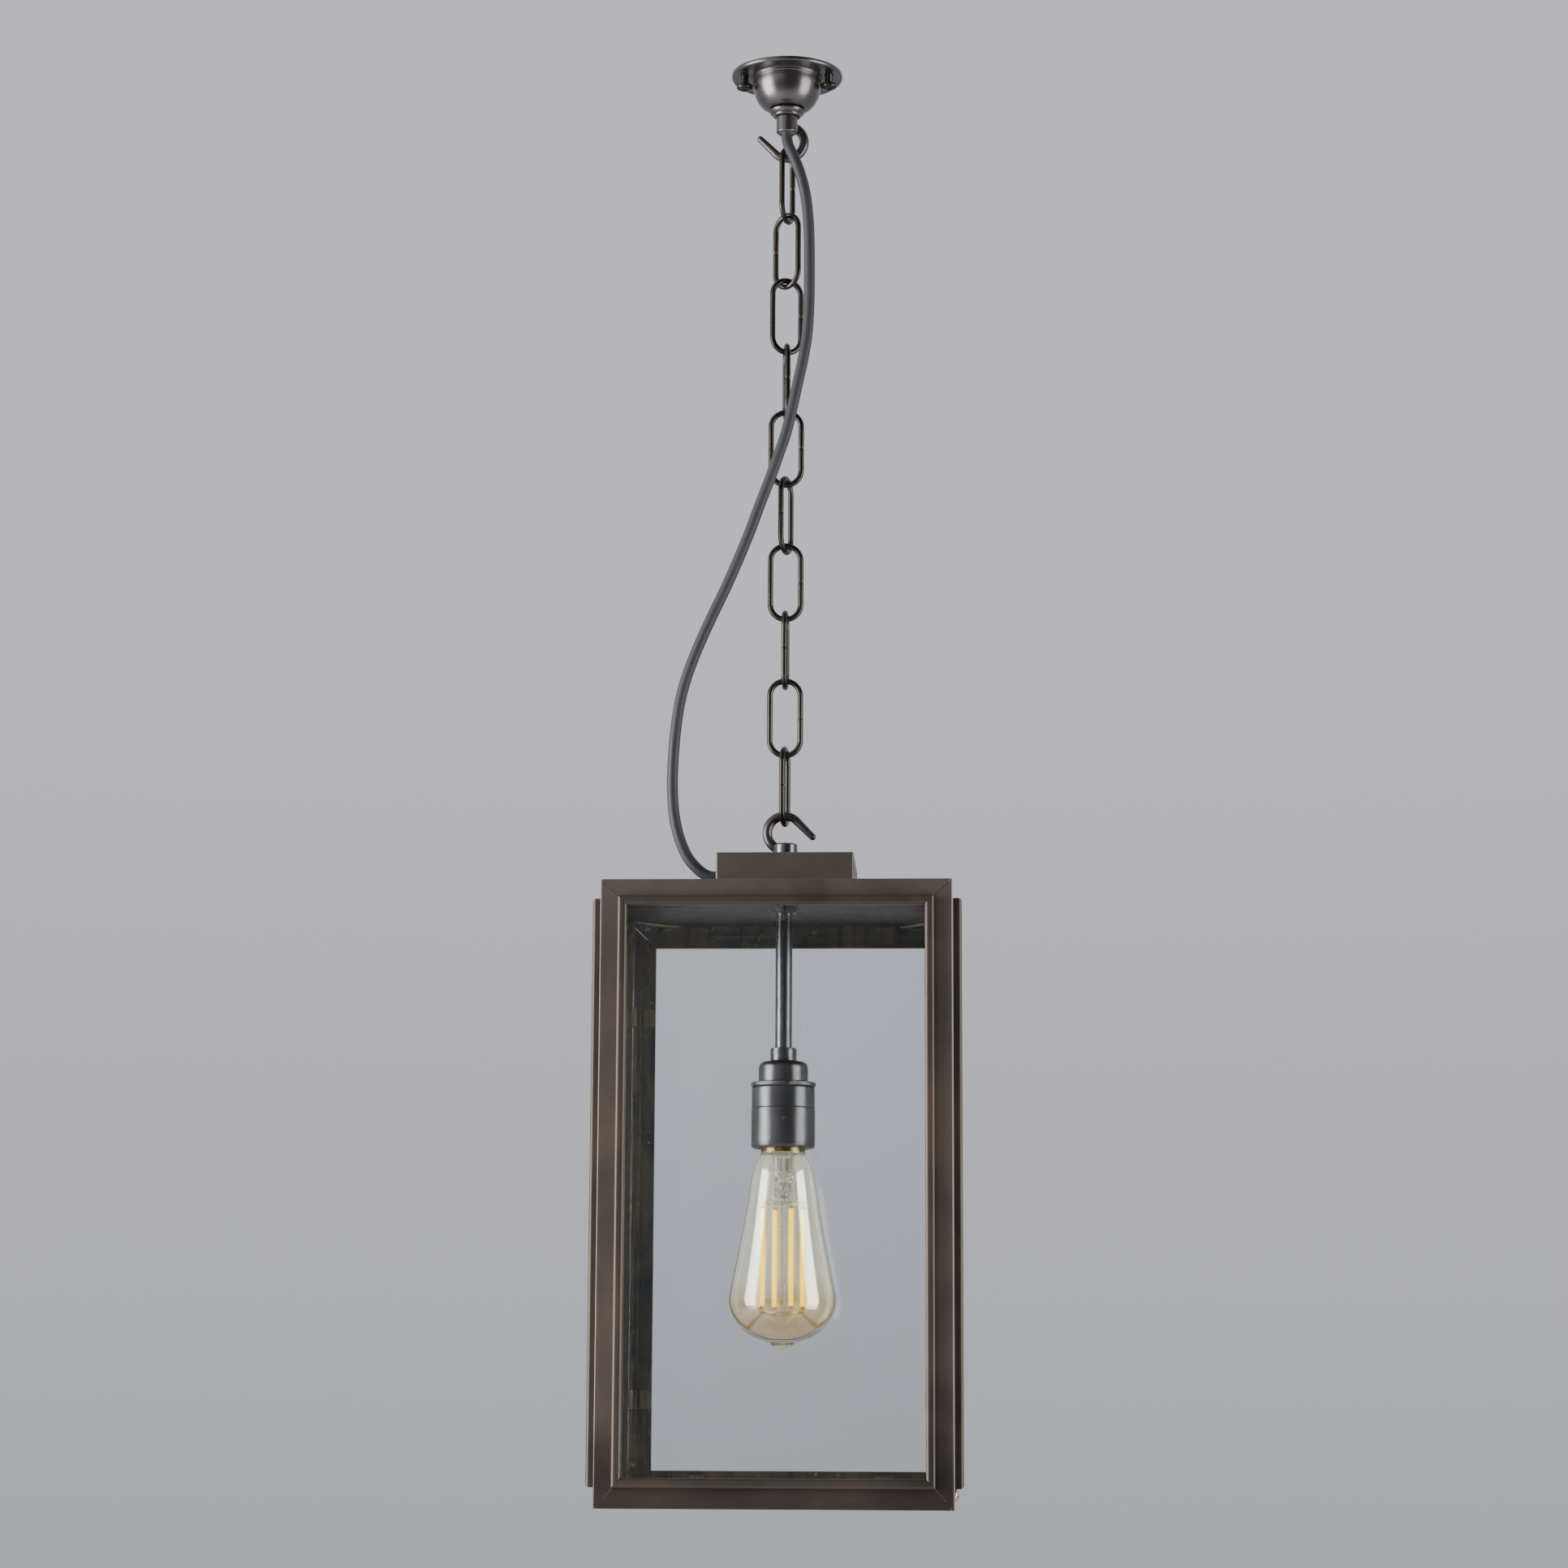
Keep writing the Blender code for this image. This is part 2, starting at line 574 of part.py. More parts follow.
def add_lampholder(finish, pivot):
    axis = (LOAD_X, LOAD_Y, 0)
    rod = ring_outline([(ROD_R, ROD_TOP), (ROD_R, ROD_BOTTOM)], ROD_BORE_R, ROD_TOP, ROD_BOTTOM)
    add_mesh("rod", turned("rod", rod, 24), finish["gunmetal"], axis, pivot)
    nut_top = BOX_TOP - SHEET - GAP
    nut_bore = (ROD_R + GAP) / math.cos(math.pi / 6)
    nut = ring_outline([(NUT_R, nut_top), (NUT_R, nut_top - NUT_H)], nut_bore, nut_top, nut_top - NUT_H)
    add_mesh("rod_nut", turned("rod_nut", nut, 6), finish["gunmetal"], axis, pivot)

    bore = ROD_R + GAP
    shoulder = arc(
        (HOLDER_DOME_R - HOLDER_SHOULDER_R, HOLDER_DOME - HOLDER_SHOULDER_R), HOLDER_SHOULDER_R, 90, 0, 4
    )
    holder_cap = [
        (HOLDER_NECK_R, HOLDER_TOP),
        (HOLDER_NECK_R, HOLDER_DOME),
        *shoulder,
        (HOLDER_DOME_R, HOLDER_RING + GAP),
        (HOLDER_DOME_R - 0.0015, HOLDER_RING + GAP),
        (HOLDER_DOME_R - 0.0015, HOLDER_RING + 0.0040),
        (HOLDER_NECK_R, ROD_BOTTOM - 0.0035),
        (bore, ROD_BOTTOM - 0.0030),
        (bore, HOLDER_TOP),
    ]
    add_mesh("holder_cap", turned("holder_cap", holder_cap), finish["gunmetal"], axis, pivot)
    ring_low = HOLDER_BODY + GAP
    ring = ring_outline(
        [(HOLDER_RING_R, HOLDER_RING), (HOLDER_RING_R, ring_low)], HOLDER_RING_BORE_R, HOLDER_RING, ring_low
    )
    add_mesh("holder_ring", turned("holder_ring", ring), finish["gunmetal"], axis, pivot)
    body_low = HOLDER_SKIRT + GAP
    body = ring_outline(
        [
            (HOLDER_BODY_R - 0.0008, HOLDER_BODY),
            (HOLDER_BODY_R, HOLDER_BODY - 0.0008),
            (HOLDER_BODY_R, body_low),
        ],
        HOLDER_BODY_BORE_R, HOLDER_BODY, body_low,
    )
    add_mesh("holder_body", turned("holder_body", body), finish["gunmetal"], axis, pivot)
    insert = pin_outline(INSERT_R, HOLDER_BODY - 0.0010, BASE_TOP + 0.0010)
    add_mesh("holder_insert", turned("holder_insert", insert), finish["ceramic"], axis, pivot)
    skirt = ring_outline(
        [
            (HOLDER_SKIRT_R - 0.0008, HOLDER_SKIRT),
            (HOLDER_SKIRT_R, HOLDER_SKIRT - 0.0012),
            (HOLDER_SKIRT_R, HOLDER_END + 0.0022),
            (HOLDER_SKIRT_R - 0.0006, HOLDER_END + 0.0007),
            (HOLDER_SKIRT_R - 0.0018, HOLDER_END),
        ],
        HOLDER_SKIRT_BORE_R, HOLDER_SKIRT, HOLDER_END,
    )
    add_mesh("holder_skirt", turned("holder_skirt", skirt), finish["gunmetal"], axis, pivot)


def bulb_outline():
    """(radius, height below the neck's top) along the glass, from neck to tip."""
    return (
        (0.0136, 0.0000), (0.0152, 0.0020), (0.0173, 0.0060), (0.0193, 0.0139), (0.0218, 0.0298),
        (0.0246, 0.0457), (0.0277, 0.0615), (0.0308, 0.0774), (GLASS_R, 0.0850), (0.0296, 0.0938),
        (0.0246, 0.1012), (0.0190, 0.1052), (0.0141, 0.1076), (0.0097, 0.1095), (0.0066, 0.1124),
        (0.0036, 0.1148),
    )


def add_bulb(finish, pivot):
    """Everything that comes away when the bulb is unscrewed."""
    bulb_pivot = add_pivot("bulb_axis", (LOAD_X, LOAD_Y, BASE_TOP), pivot)
    axis = (LOAD_X, LOAD_Y, 0)
    base_end = GLASS_TOP + GAP
    base = [
        (0.0045, BASE_TOP), (0.0060, BASE_TOP - 0.0015), (0.0118, BASE_TOP - 0.0045),
        *((BASE_R - 0.0008 * (i % 2), BASE_TOP - 0.0060 - 0.0018 * i) for i in range(11)),
        (BASE_R, base_end),
    ]
    base = turned("bulb_base", solid_outline(base), 24)
    add_mesh("bulb_base", base, finish["bright_brass"], axis, bulb_pivot)

    outer = [(r, GLASS_TOP - down) for r, down in bulb_outline()]
    inner = [(max(r - GLASS_WALL, 0.0), z) for r, z in outer[:-1]]
    inner_tip = (0, outer[-2][1] - 0.0005)
    glass = [*outer, (0, GLASS_TIP), inner_tip, *reversed(inner)]
    add_mesh("bulb_glass", turned("bulb_glass", glass, 24), finish["glass"], axis, bulb_pivot)

    stem = solid_outline([
        (0.0085, GLASS_TOP - GAP), (0.0055, GLASS_TOP - 0.0040), (0.0040, GLASS_TOP - 0.0160),
        (0.0026, STEM_END),
    ])
    add_mesh("bulb_stem", turned("bulb_stem", stem, 12), finish["glass"], axis, bulb_pivot)
    add_filaments(finish, bulb_pivot)


def add_filaments(finish, pivot):
    """Four upright rods between two rings, as one cage."""
    inner_r, outer_r = CAGE_R - CAGE_RING_W / 2, CAGE_R + CAGE_RING_W / 2
    ring = ring_outline([(outer_r, 0), (outer_r, -CAGE_RING_T)], inner_r, 0, -CAGE_RING_T)
    axis_top = (LOAD_X, LOAD_Y, FILAMENT_TOP)
    cage = add_mesh("filament_cage", turned("filament_cage", ring), finish["filament"], axis_top, pivot)
    foot_place = (LOAD_X, LOAD_Y, FILAMENT_LOW + CAGE_RING_T)
    foot = add_mesh("filament_foot", turned("filament_foot", ring), finish["filament"], foot_place, pivot)
    joined(cage, foot)
    reach = FILAMENT_TOP - FILAMENT_LOW - CAGE_RING_T / 2
    centres = [(CAGE_R, 0, -CAGE_RING_T / 2), (CAGE_R, 0, -reach)]
    for number in range(FILAMENT_COUNT):
        rod = swept(f"filament_{number}", centres, [FILAMENT_R] * 2, 8)
        turn = math.radians(FILAMENT_TURN_DEG + 360 / FILAMENT_COUNT * number)
        guide = add_mesh(f"filament_{number}", rod, finish["filament"], axis_top, pivot, turn)
        joined(cage, guide)


# Cable


def smooth_through(points, step, stub):
    """Evenly spaced points on a Catmull-Rom curve through the route, with a short stub at each end."""
    route = [Vector(p) for p in points]
    ends = [2 * route[0] - route[1], *route, 2 * route[-1] - route[-2]]
    fine = [route[0]]
    for a, b, c, d in zip(ends, ends[1:], ends[2:], ends[3:]):
        for i in range(1, 21):
            t = i / 20
            fine.append(0.5 * (
                2 * b + (c - a) * t + (2 * a - 5 * b + 4 * c - d) * t * t
                + (3 * b - 3 * c + d - a) * t * t * t
            ))
    lengths = [0.0]
    for before, after in zip(fine, fine[1:]):
        lengths.append(lengths[-1] + (after - before).length)
    between = lengths[-1] - 2 * stub
    count = round(between / step)
    wanted = [0.0, *(stub + between * i / count for i in range(count + 1)), lengths[-1]]
    found, at = [], 0
    for want in wanted:
        while at < len(fine) - 2 and lengths[at + 1] < want:
            at += 1
        share = (want - lengths[at]) / (lengths[at + 1] - lengths[at])
        found.append(fine[at].lerp(fine[at + 1], min(share, 1.0)))
    return found


def add_cable(finish):
    curve = bpy.data.curves.new("cable", "CURVE")
    curve.dimensions = "3D"
    curve.bevel_depth = CABLE_R
    curve.bevel_resolution = 2
    curve.render_resolution_u = 0
    curve.use_fill_caps = True
    spline = curve.splines.new("POLY")
    points = smooth_through(CABLE_ROUTE, CABLE_STEP, CABLE_STUB)
    spline.points.add(len(points) - 1)
    for point, place in zip(spline.points, points):
        point.co = (*place, 1.0)
    curve.materials.append(finish["flex"])
    cable = bpy.data.objects.new("cable", curve)
    bpy.context.collection.objects.link(cable)


def main():
    clear_scene()
    finish = make_finishes()
    add_ceiling_end(finish)
    add_chain(finish)
    lantern = add_pivot("lantern_pivot", (LOAD_X, LOAD_Y, CHAIN_END))
    add_hanger(finish, lantern)
    add_cap(finish, lantern)
    add_box(finish, lantern)
    add_lampholder(finish, lantern)
    add_bulb(finish, lantern)
    add_cable(finish)


main()
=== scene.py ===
"""Looks of the hanging lantern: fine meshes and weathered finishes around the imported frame.

Metres, in the CAD's own frame: the ceiling face is at z = 0 and the lantern hangs below it.
"""

import json
from math import cos, pi, radians, sin

import bmesh
import bpy
from mathutils import Matrix, Vector, noise

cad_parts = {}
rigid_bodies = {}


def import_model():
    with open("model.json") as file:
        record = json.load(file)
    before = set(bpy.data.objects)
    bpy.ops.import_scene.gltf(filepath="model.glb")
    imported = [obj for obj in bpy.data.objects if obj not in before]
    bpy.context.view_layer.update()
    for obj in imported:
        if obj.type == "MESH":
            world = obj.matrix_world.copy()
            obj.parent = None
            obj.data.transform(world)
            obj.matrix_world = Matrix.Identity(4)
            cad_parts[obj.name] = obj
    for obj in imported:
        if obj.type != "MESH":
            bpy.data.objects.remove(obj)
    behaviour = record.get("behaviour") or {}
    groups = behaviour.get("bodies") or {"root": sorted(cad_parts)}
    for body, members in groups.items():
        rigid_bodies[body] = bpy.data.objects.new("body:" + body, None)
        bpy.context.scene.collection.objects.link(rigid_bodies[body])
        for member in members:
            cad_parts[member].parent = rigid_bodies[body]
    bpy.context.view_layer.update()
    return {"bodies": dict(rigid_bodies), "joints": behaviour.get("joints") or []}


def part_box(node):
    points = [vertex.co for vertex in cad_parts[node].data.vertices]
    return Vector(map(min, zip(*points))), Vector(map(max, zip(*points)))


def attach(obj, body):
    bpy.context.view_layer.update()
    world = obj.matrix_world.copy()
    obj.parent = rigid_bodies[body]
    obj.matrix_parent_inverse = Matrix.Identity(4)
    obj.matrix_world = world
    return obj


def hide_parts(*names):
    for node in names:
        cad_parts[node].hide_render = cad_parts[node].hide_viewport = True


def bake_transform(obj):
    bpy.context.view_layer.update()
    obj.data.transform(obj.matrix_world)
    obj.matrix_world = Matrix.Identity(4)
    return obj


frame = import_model()

JOINTS = {joint["name"]: joint for joint in frame["joints"]}
LINKS = sorted(name for name in frame["bodies"] if name.startswith("link_"))
GAP = 0.0003  # between neighbouring pieces
MITRE = 0.00010  # half the joint between two mitred pieces


def middle(node):
    low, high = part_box(node)
    return (low + high) / 2


def extent(node):
    low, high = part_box(node)
    return high - low


LOAD = Vector((*JOINTS["lantern_swing"]["pos_m"][:2], 0))  # the plumb line that chain and lantern hang on
BOX_BOTTOM, BOX_TOP = (corner.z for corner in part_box("corner_post_front_left"))
HALF_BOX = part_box("corner_post_front_right")[1].x - LOAD.x
SHEET = extent("top_rail_front").y
FLAT_SIDE = extent("corner_post_front_left").x
FLAT_TOP = BOX_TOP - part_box("top_rail_front")[0].z
FLAT_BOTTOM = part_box("bottom_rail_front")[1].z - BOX_BOTTOM
PANE_T = extent("glass_pane_front").y
SIDES = ("front", "right", "back", "left")
CORNERS = ("front_right", "back_right", "back_left", "front_left")


def from_load(x, y, z):
    """A point given from the load line."""
    return LOAD + Vector((x, y, z))


def around_load(a, r, z):
    """A point given by its angle and distance from the load line."""
    return from_load(r * cos(a), r * sin(a), z)


# ---------------------------------------------------------------- node trees


class Nodes:
    """A node tree: each method adds nodes and returns the socket that carries the result."""

    def __init__(self, tree, coordinates):
        self.tree = tree
        self.place = self.add("TexCoord", coordinates)

    def add(self, kind, output, inputs=(), **settings):
        node = self.tree.nodes.new(f"ShaderNode{kind}")
        for key, value in settings.items():
            setattr(node, key, value)
        for key, value in dict(inputs).items():
            self.put(node, key, value)
        return node.outputs[output]

    def put(self, node, key, value):
        socket = node.inputs[key]
        if isinstance(value, bpy.types.NodeSocket):
            self.tree.links.new(value, socket)
        else:
            socket.default_value = value

    def axis(self, letter):
        return self.add("SeparateXYZ", letter, {0: self.place})

    def range(self, value, low, high, to_low=0.0, to_high=1.0):
        inputs = {"Value": value, "From Min": low, "From Max": high, "To Min": to_low, "To Max": to_high}
        return self.add("MapRange", "Result", inputs)

    def mix(self, fac, a, b):
        a, b = (tone if isinstance(tone, bpy.types.NodeSocket) else (*tone, 1) for tone in (a, b))
        return self.add("Mix", 2, {"Factor": fac, 6: a, 7: b}, data_type="RGBA")


class Finish(Nodes):
    """A piece's material: the principled shader and the nodes that drive it."""

    def __init__(self, name, slot):
        self.material = bpy.data.materials.new(name)
        self.material.use_nodes = True
        super().__init__(self.material.node_tree, "Object")
        self.shader = self.tree.nodes["Principled BSDF"]

    def set(self, **values):
        for key, value in values.items():
            self.put(self.shader, key.replace("_", " "), value)

    def noise(self, scale, detail=4.0, rough=0.55, stretch=None, distortion=0.0):
        place = self.place
        if stretch:
            place = self.add("Mapping", "Vector", {"Vector": place, "Scale": stretch})
        look = {"Scale": scale, "Detail": detail, "Roughness": rough, "Distortion": distortion}
        return self.add("TexNoise", "Fac", {"Vector": place, **look})

    def ramp(self, fac, *stops, tone=1.0):
        node = self.tree.nodes.new("ShaderNodeValToRGB")
        self.put(node, "Fac", fac)
        elements = node.color_ramp.elements
        while len(elements) < len(stops):
            elements.new(0.5)
        for element, (at, colour) in zip(elements, stops):
            element.position = at
            element.color = (*scaled(colour, tone), 1)
        return node.outputs["Color"]

    def math(self, operation, a, b):
        return self.add("Math", 0, {0: a, 1: b}, operation=operation)

    def height(self, waver, amount):
        """How high a point is, with a wandering edge."""
        return self.math("ADD", self.axis("Z"), self.math("MULTIPLY", waver, amount))

    def edges(self, radius):
        """Near 1 on sharp edges: how far a rounded normal leaves the true one."""
        softened = self.add("Bevel", "Normal", {"Radius": radius}, samples=4)
        true = self.add("NewGeometry", "Normal")
        likeness = self.add("VectorMath", "Value", {0: softened, 1: true}, operation="DOT_PRODUCT")
        return self.range(likeness, 0.985, 0.80)

    def hollows(self, distance):
        """1 in the open, falling towards 0 in creases."""
        return self.add("AmbientOcclusion", "AO", {"Distance": distance}, samples=6)

    def bumped(self, height, strength, distance):
        """The finished material, with its relief."""
        inputs = {"Height": height, "Strength": strength, "Distance": distance}
        self.set(Normal=self.add("Bump", "Normal", inputs))
        return self.material


def scaled(colour, factor):
    return tuple(factor * c for c in colour)


# ---------------------------------------------------------------- camera, light and floor

CAMERA_AT = (0.1011, -2.1217, -0.8111)
CAMERA_TURNS = ((2.73, "Z"), (99.70, "X"), (0.25, "Z"))  # degrees: azimuth, pitch from straight down, roll
CAMERA_LENS = 82.1
WALL_LOW, WALL_HIGH = (0.460, 0.466, 0.515), (0.668, 0.669, 0.750)
ROOM_LEFT, ROOM_RIGHT = (0.90, 0.90, 0.91), (0.065, 0.065, 0.068)
FLOOR_HALF, FLOOR_Z, FLOOR_T = 3.0, -1.75, 0.02
LIGHT_AIM = Vector((0.0, 0.0, -0.70))


def linked(name, data):
    thing = bpy.data.objects.new(name, data)
    bpy.context.scene.collection.objects.link(thing)
    return thing


def mesh_from(work, name):
    mesh = bpy.data.meshes.new(name)
    work.to_mesh(mesh)
    work.free()
    return mesh


def add_camera():
    data = bpy.data.cameras.new("camera")
    data.lens = CAMERA_LENS
    data.sensor_width = 36.0
    data.clip_start, data.clip_end = 0.05, 60
    camera = linked("camera", data)
    stand = Matrix.Translation(CAMERA_AT)
    for degrees, axis in CAMERA_TURNS:
        stand = stand @ Matrix.Rotation(radians(degrees), 4, axis)
    camera.matrix_world = stand
    bpy.context.scene.camera = camera


def add_soft_box(name, place, size, power):
    data = bpy.data.lights.new(name, "AREA")
    data.shape = "RECTANGLE"
    data.size, data.size_y = size
    data.energy = power
    light = linked(name, data)
    light.location = place
    light.rotation_euler = (LIGHT_AIM - Vector(place)).to_track_quat("-Z", "Y").to_euler()


def add_surroundings():
    """A pale wall behind, a dim room in front that is lighter on the left, and a soft box on each side."""
    world = bpy.data.worlds.new("studio")
    world.use_nodes = True
    sky = Nodes(world.node_tree, "Generated")
    x, y, z = (sky.axis(letter) for letter in "XYZ")
    wall = sky.mix(sky.range(z, -0.06, 0.22), WALL_LOW, WALL_HIGH)
    front = sky.mix(sky.range(x, 0.0, -0.35), ROOM_RIGHT, ROOM_LEFT)
    front = sky.mix(sky.range(z, -0.12, 0.14), sky.mix(0.88, front, (0, 0, 0)), front)
    sky.put(world.node_tree.nodes["Background"], "Color", sky.mix(sky.range(y, -0.30, 0.30), front, wall))
    bpy.context.scene.world = world
    add_soft_box("soft_box_left", (-2.22, -0.90, -0.60), (1.45, 2.0), 124)
    add_soft_box("soft_box_right", (2.26, -0.86, -0.65), (1.35, 2.0), 62)

    work = bmesh.new()
    spread = Matrix.Diagonal((2 * FLOOR_HALF, 2 * FLOOR_HALF, FLOOR_T, 1))
    bmesh.ops.create_cube(work, size=1, matrix=spread)
    floor = linked("floor", mesh_from(work, "floor"))
    floor.location.z = FLOOR_Z
    paper = bpy.data.materials.new("pale_floor")
    paper.use_nodes = True
    shader = paper.node_tree.nodes["Principled BSDF"]
    shader.inputs["Base Color"].default_value = (0.62, 0.62, 0.64, 1)
    shader.inputs["Roughness"].default_value = 0.9
    floor.data.materials.append(paper)


# ---------------------------------------------------------------- materials


def patinated_metal(
    name, slot, dark, body, warm, worn, rough, metallic=0.9, wear=0.0, radius=0.0005, grain=0.1,
    waver=0.00001, painted_shade_below=None,
):
    """Brass under a dark patina: clouds of tone, fine drawn streaks, painted shade in creases and, where
    asked, towards the bottom, pale rubbed edges.
    """
    f = Finish(name, slot)
    clouds = f.noise(13, detail=6, rough=0.58, distortion=0.5)
    fine = f.noise(260, detail=5, rough=0.7)
    streaks = f.noise(90, detail=3, stretch=(1.0, 1.0, 0.06))
    painted_shade_tone = scaled(dark, 0.30)
    colour = f.ramp(clouds, (0.30, dark), (0.50, body), (0.72, warm))
    colour = f.mix(f.range(streaks, 0.42, 0.70, 0.0, grain * 0.6), colour, dark)
    colour = f.mix(f.range(fine, 0.55, 0.80, 0.0, grain), colour, warm)
    # painted shade: the colour darkens in creases and hollows, where shade falls
    colour = f.mix(f.range(f.hollows(0.0022), 0.15, 0.60, 0.65, 0.0), colour, painted_shade_tone)
    # painted shade: the colour darkens over the lowest few centimetres, where less light falls
    if painted_shade_below is not None:
        low_shade = f.range(f.height(clouds, 0.03), painted_shade_below + 0.03, painted_shade_below, 0.0, 0.62)
        colour = f.mix(low_shade, colour, painted_shade_tone)
    if wear:
        rub = f.math("MULTIPLY", f.edges(radius), f.range(f.noise(120), 0.30, 0.62, 0.15, wear))
        colour = f.mix(rub, colour, worn)
    roughness = f.range(f.math("ADD", clouds, f.math("MULTIPLY", fine, 0.4)), 0.50, 0.90, *rough)
    f.set(Base_Color=colour, Roughness=roughness, Metallic=metallic)
    return f.bumped(f.math("ADD", fine, f.math("MULTIPLY", streaks, 0.5)), 0.4 * grain, waver)


def inside_metal(name, tone):
    """The unpolished inside: blue-black and brown patina in drawn bands, grey solder runs, bare specks."""
    f = Finish(name, "weathered_brass")
    clouds = f.noise(20, detail=8, rough=0.66, stretch=(1, 1, 0.45), distortion=1.0)
    stops = ((0.33, (0.034, 0.036, 0.042)), (0.45, (0.080, 0.067, 0.055)), (0.60, (0.135, 0.100, 0.070)))
    colour = f.ramp(clouds, *stops, tone=tone)
    upright = f.noise(150, rough=0.6, stretch=(1, 1, 0.05), distortion=0.3)
    colour = f.mix(f.range(upright, 0.52, 0.68, 0.0, 0.60), colour, (0.026, 0.028, 0.034))
    smear = f.noise(52, detail=7, rough=0.72, stretch=(1, 1, 0.3), distortion=2.2)
    colour = f.mix(f.range(smear, 0.585, 0.68, 0.0, 0.65), colour, scaled((0.135, 0.124, 0.113), tone))
    specks = f.range(f.noise(330, detail=3), 0.69, 0.74)
    colour = f.mix(specks, colour, (0.46, 0.34, 0.17))
    f.set(Base_Color=colour, Roughness=f.range(smear, 0.3, 0.75, 0.58, 0.36), Metallic=0.7)
    return f.bumped(f.math("ADD", smear, clouds), 0.30, 0.00025)


def bright_brass(name, slot, tone=1.0):
    f = Finish(name, slot)
    clouds = f.noise(140, detail=5)
    stops = ((0.30, (0.33, 0.21, 0.075)), (0.60, (0.66, 0.47, 0.20)), (0.80, (0.78, 0.60, 0.30)))
    colour = f.ramp(clouds, *stops, tone=tone)
    # painted shade: the colour darkens in creases and hollows, where shade falls
    colour = f.mix(f.range(f.hollows(0.002), 0.3, 0.9, 0.7, 0.0), colour, (0.11, 0.065, 0.025))
    f.set(Base_Color=colour, Roughness=f.range(clouds, 0.3, 0.75, 0.40, 0.20), Metallic=1.0)
    return f.bumped(f.noise(700, detail=3), 0.12, 0.00008)


def flex_rubber(name, slot):
    """Round dark grey flex: matt sheath with a faint extruded grain and dust."""
    f = Finish(name, slot)
    fine = f.noise(900, rough=0.7)
    clouds = f.noise(34)
    colour = f.ramp(clouds, (0.30, (0.023, 0.024, 0.028)), (0.70, (0.033, 0.034, 0.039)))
    colour = f.mix(f.range(fine, 0.60, 0.80, 0.0, 0.3), colour, (0.070, 0.071, 0.078))
    f.set(Base_Color=colour, Roughness=f.range(clouds, 0.3, 0.7, 0.50, 0.62))
    return f.bumped(fine, 0.25, 0.0001)


def moulded_plastic(name, slot, colour):
    f = Finish(name, slot)
    clouds = f.noise(120)
    shade = f.ramp(clouds, (0.3, scaled(colour, 0.88)), (0.7, colour))
    f.set(Base_Color=shade, Roughness=f.range(clouds, 0.3, 0.7, 0.36, 0.50))
    return f.bumped(f.noise(800, detail=3), 0.15, 0.00008)


def mottled(name, slot, clouds, stops, relief, rough, glows=False, **values):
    """One noise drives the tone, the roughness where it varies, and the relief."""
    f = Finish(name, slot)
    cloudy = f.noise(**clouds)
    colour = f.ramp(cloudy, *stops)
    roughness = f.range(cloudy, 0.3, 0.7, *rough) if isinstance(rough, tuple) else rough
    if glows:
        f.set(Emission_Color=colour)
    f.set(Base_Color=colour, Roughness=roughness, **values)
    return f.bumped(cloudy, *relief)


def clear_glass(name, slot, tint, ripple, rough, relief, sheen):
    """Clear glass with a slight tint, a barely visible ripple and the faintest haze."""
    f = Finish(name, slot)
    waves = f.noise(ripple, detail=2)
    shade = f.ramp(waves, (0.3, tint), (0.7, tuple(min(1.0, c * 1.02) for c in tint)))
    f.set(Base_Color=shade, Roughness=f.range(f.noise(30, detail=5), 0.4, 0.8, *rough))
    f.set(Transmission_Weight=1.0, IOR=1.47, Specular_IOR_Level=sheen)
    return f.bumped(waves, relief, 0.0002)


def lamp_glass(name, slot):
    """Faintly gilded glass, deeper amber towards the tip, with a painted glow: a faint emission, brightest
    towards the neck and fading towards the tip, in place of the filaments' light in the glass.
    """
    f = Finish(name, slot)
    waves = f.noise(22, detail=2)
    height = f.height(waves, 0.006)
    shade = f.mix(f.range(height, -0.738, -0.768), (0.997, 0.952, 0.835), (0.935, 0.765, 0.440))
    # painted glow: the glass itself emits a little light
    painted_glow = f.mix(f.range(height, -0.742, -0.764), (1.0, 0.97, 0.89), (0.10, 0.06, 0.01))
    f.set(Base_Color=shade, Roughness=f.range(f.noise(30, detail=5), 0.4, 0.8, 0.0, 0.015))
    f.set(Transmission_Weight=1.0, IOR=1.47, Specular_IOR_Level=1.0)
    f.set(Coat_Weight=1.0, Coat_IOR=1.7, Coat_Roughness=0.14, Emission_Color=painted_glow, Emission_Strength=0.045)
    return f.bumped(waves, 0.03, 0.0002)


# the frame's brass is painted darker towards its bottom: painted shade
FRAME_BRASS = patinated_metal(
    "weathered_brass", "weathered_brass",
    (0.112, 0.093, 0.082), (0.149, 0.123, 0.107), (0.179, 0.144, 0.117), (0.27, 0.228, 0.190),
    rough=(0.42, 0.52), metallic=0.88, wear=0.35, radius=0.0006, grain=0.22, waver=0.00005,
    painted_shade_below=BOX_BOTTOM + 0.030,
)
BEAD_BRASS = patinated_metal(
    "moulding_brass", "weathered_brass",
    (0.067, 0.054, 0.046), (0.088, 0.071, 0.059), (0.111, 0.084, 0.064), (0.21, 0.17, 0.135),
    rough=(0.44, 0.54), metallic=0.88, grain=0.22, waver=0.00004,
)
CHAIN_BRONZE = patinated_metal(
    "chain_bronze", "dark_bronze",
    (0.034, 0.031, 0.028), (0.050, 0.044, 0.039), (0.072, 0.059, 0.047), (0.14, 0.115, 0.09),
    rough=(0.24, 0.32), grain=0.08,
)
HOOK_BRONZE = patinated_metal(
    "hook_bronze", "dark_bronze",
    (0.070, 0.065, 0.063), (0.092, 0.084, 0.080), (0.118, 0.102, 0.090), (0.22, 0.19, 0.17),
    rough=(0.30, 0.38), waver=0.00002,
)
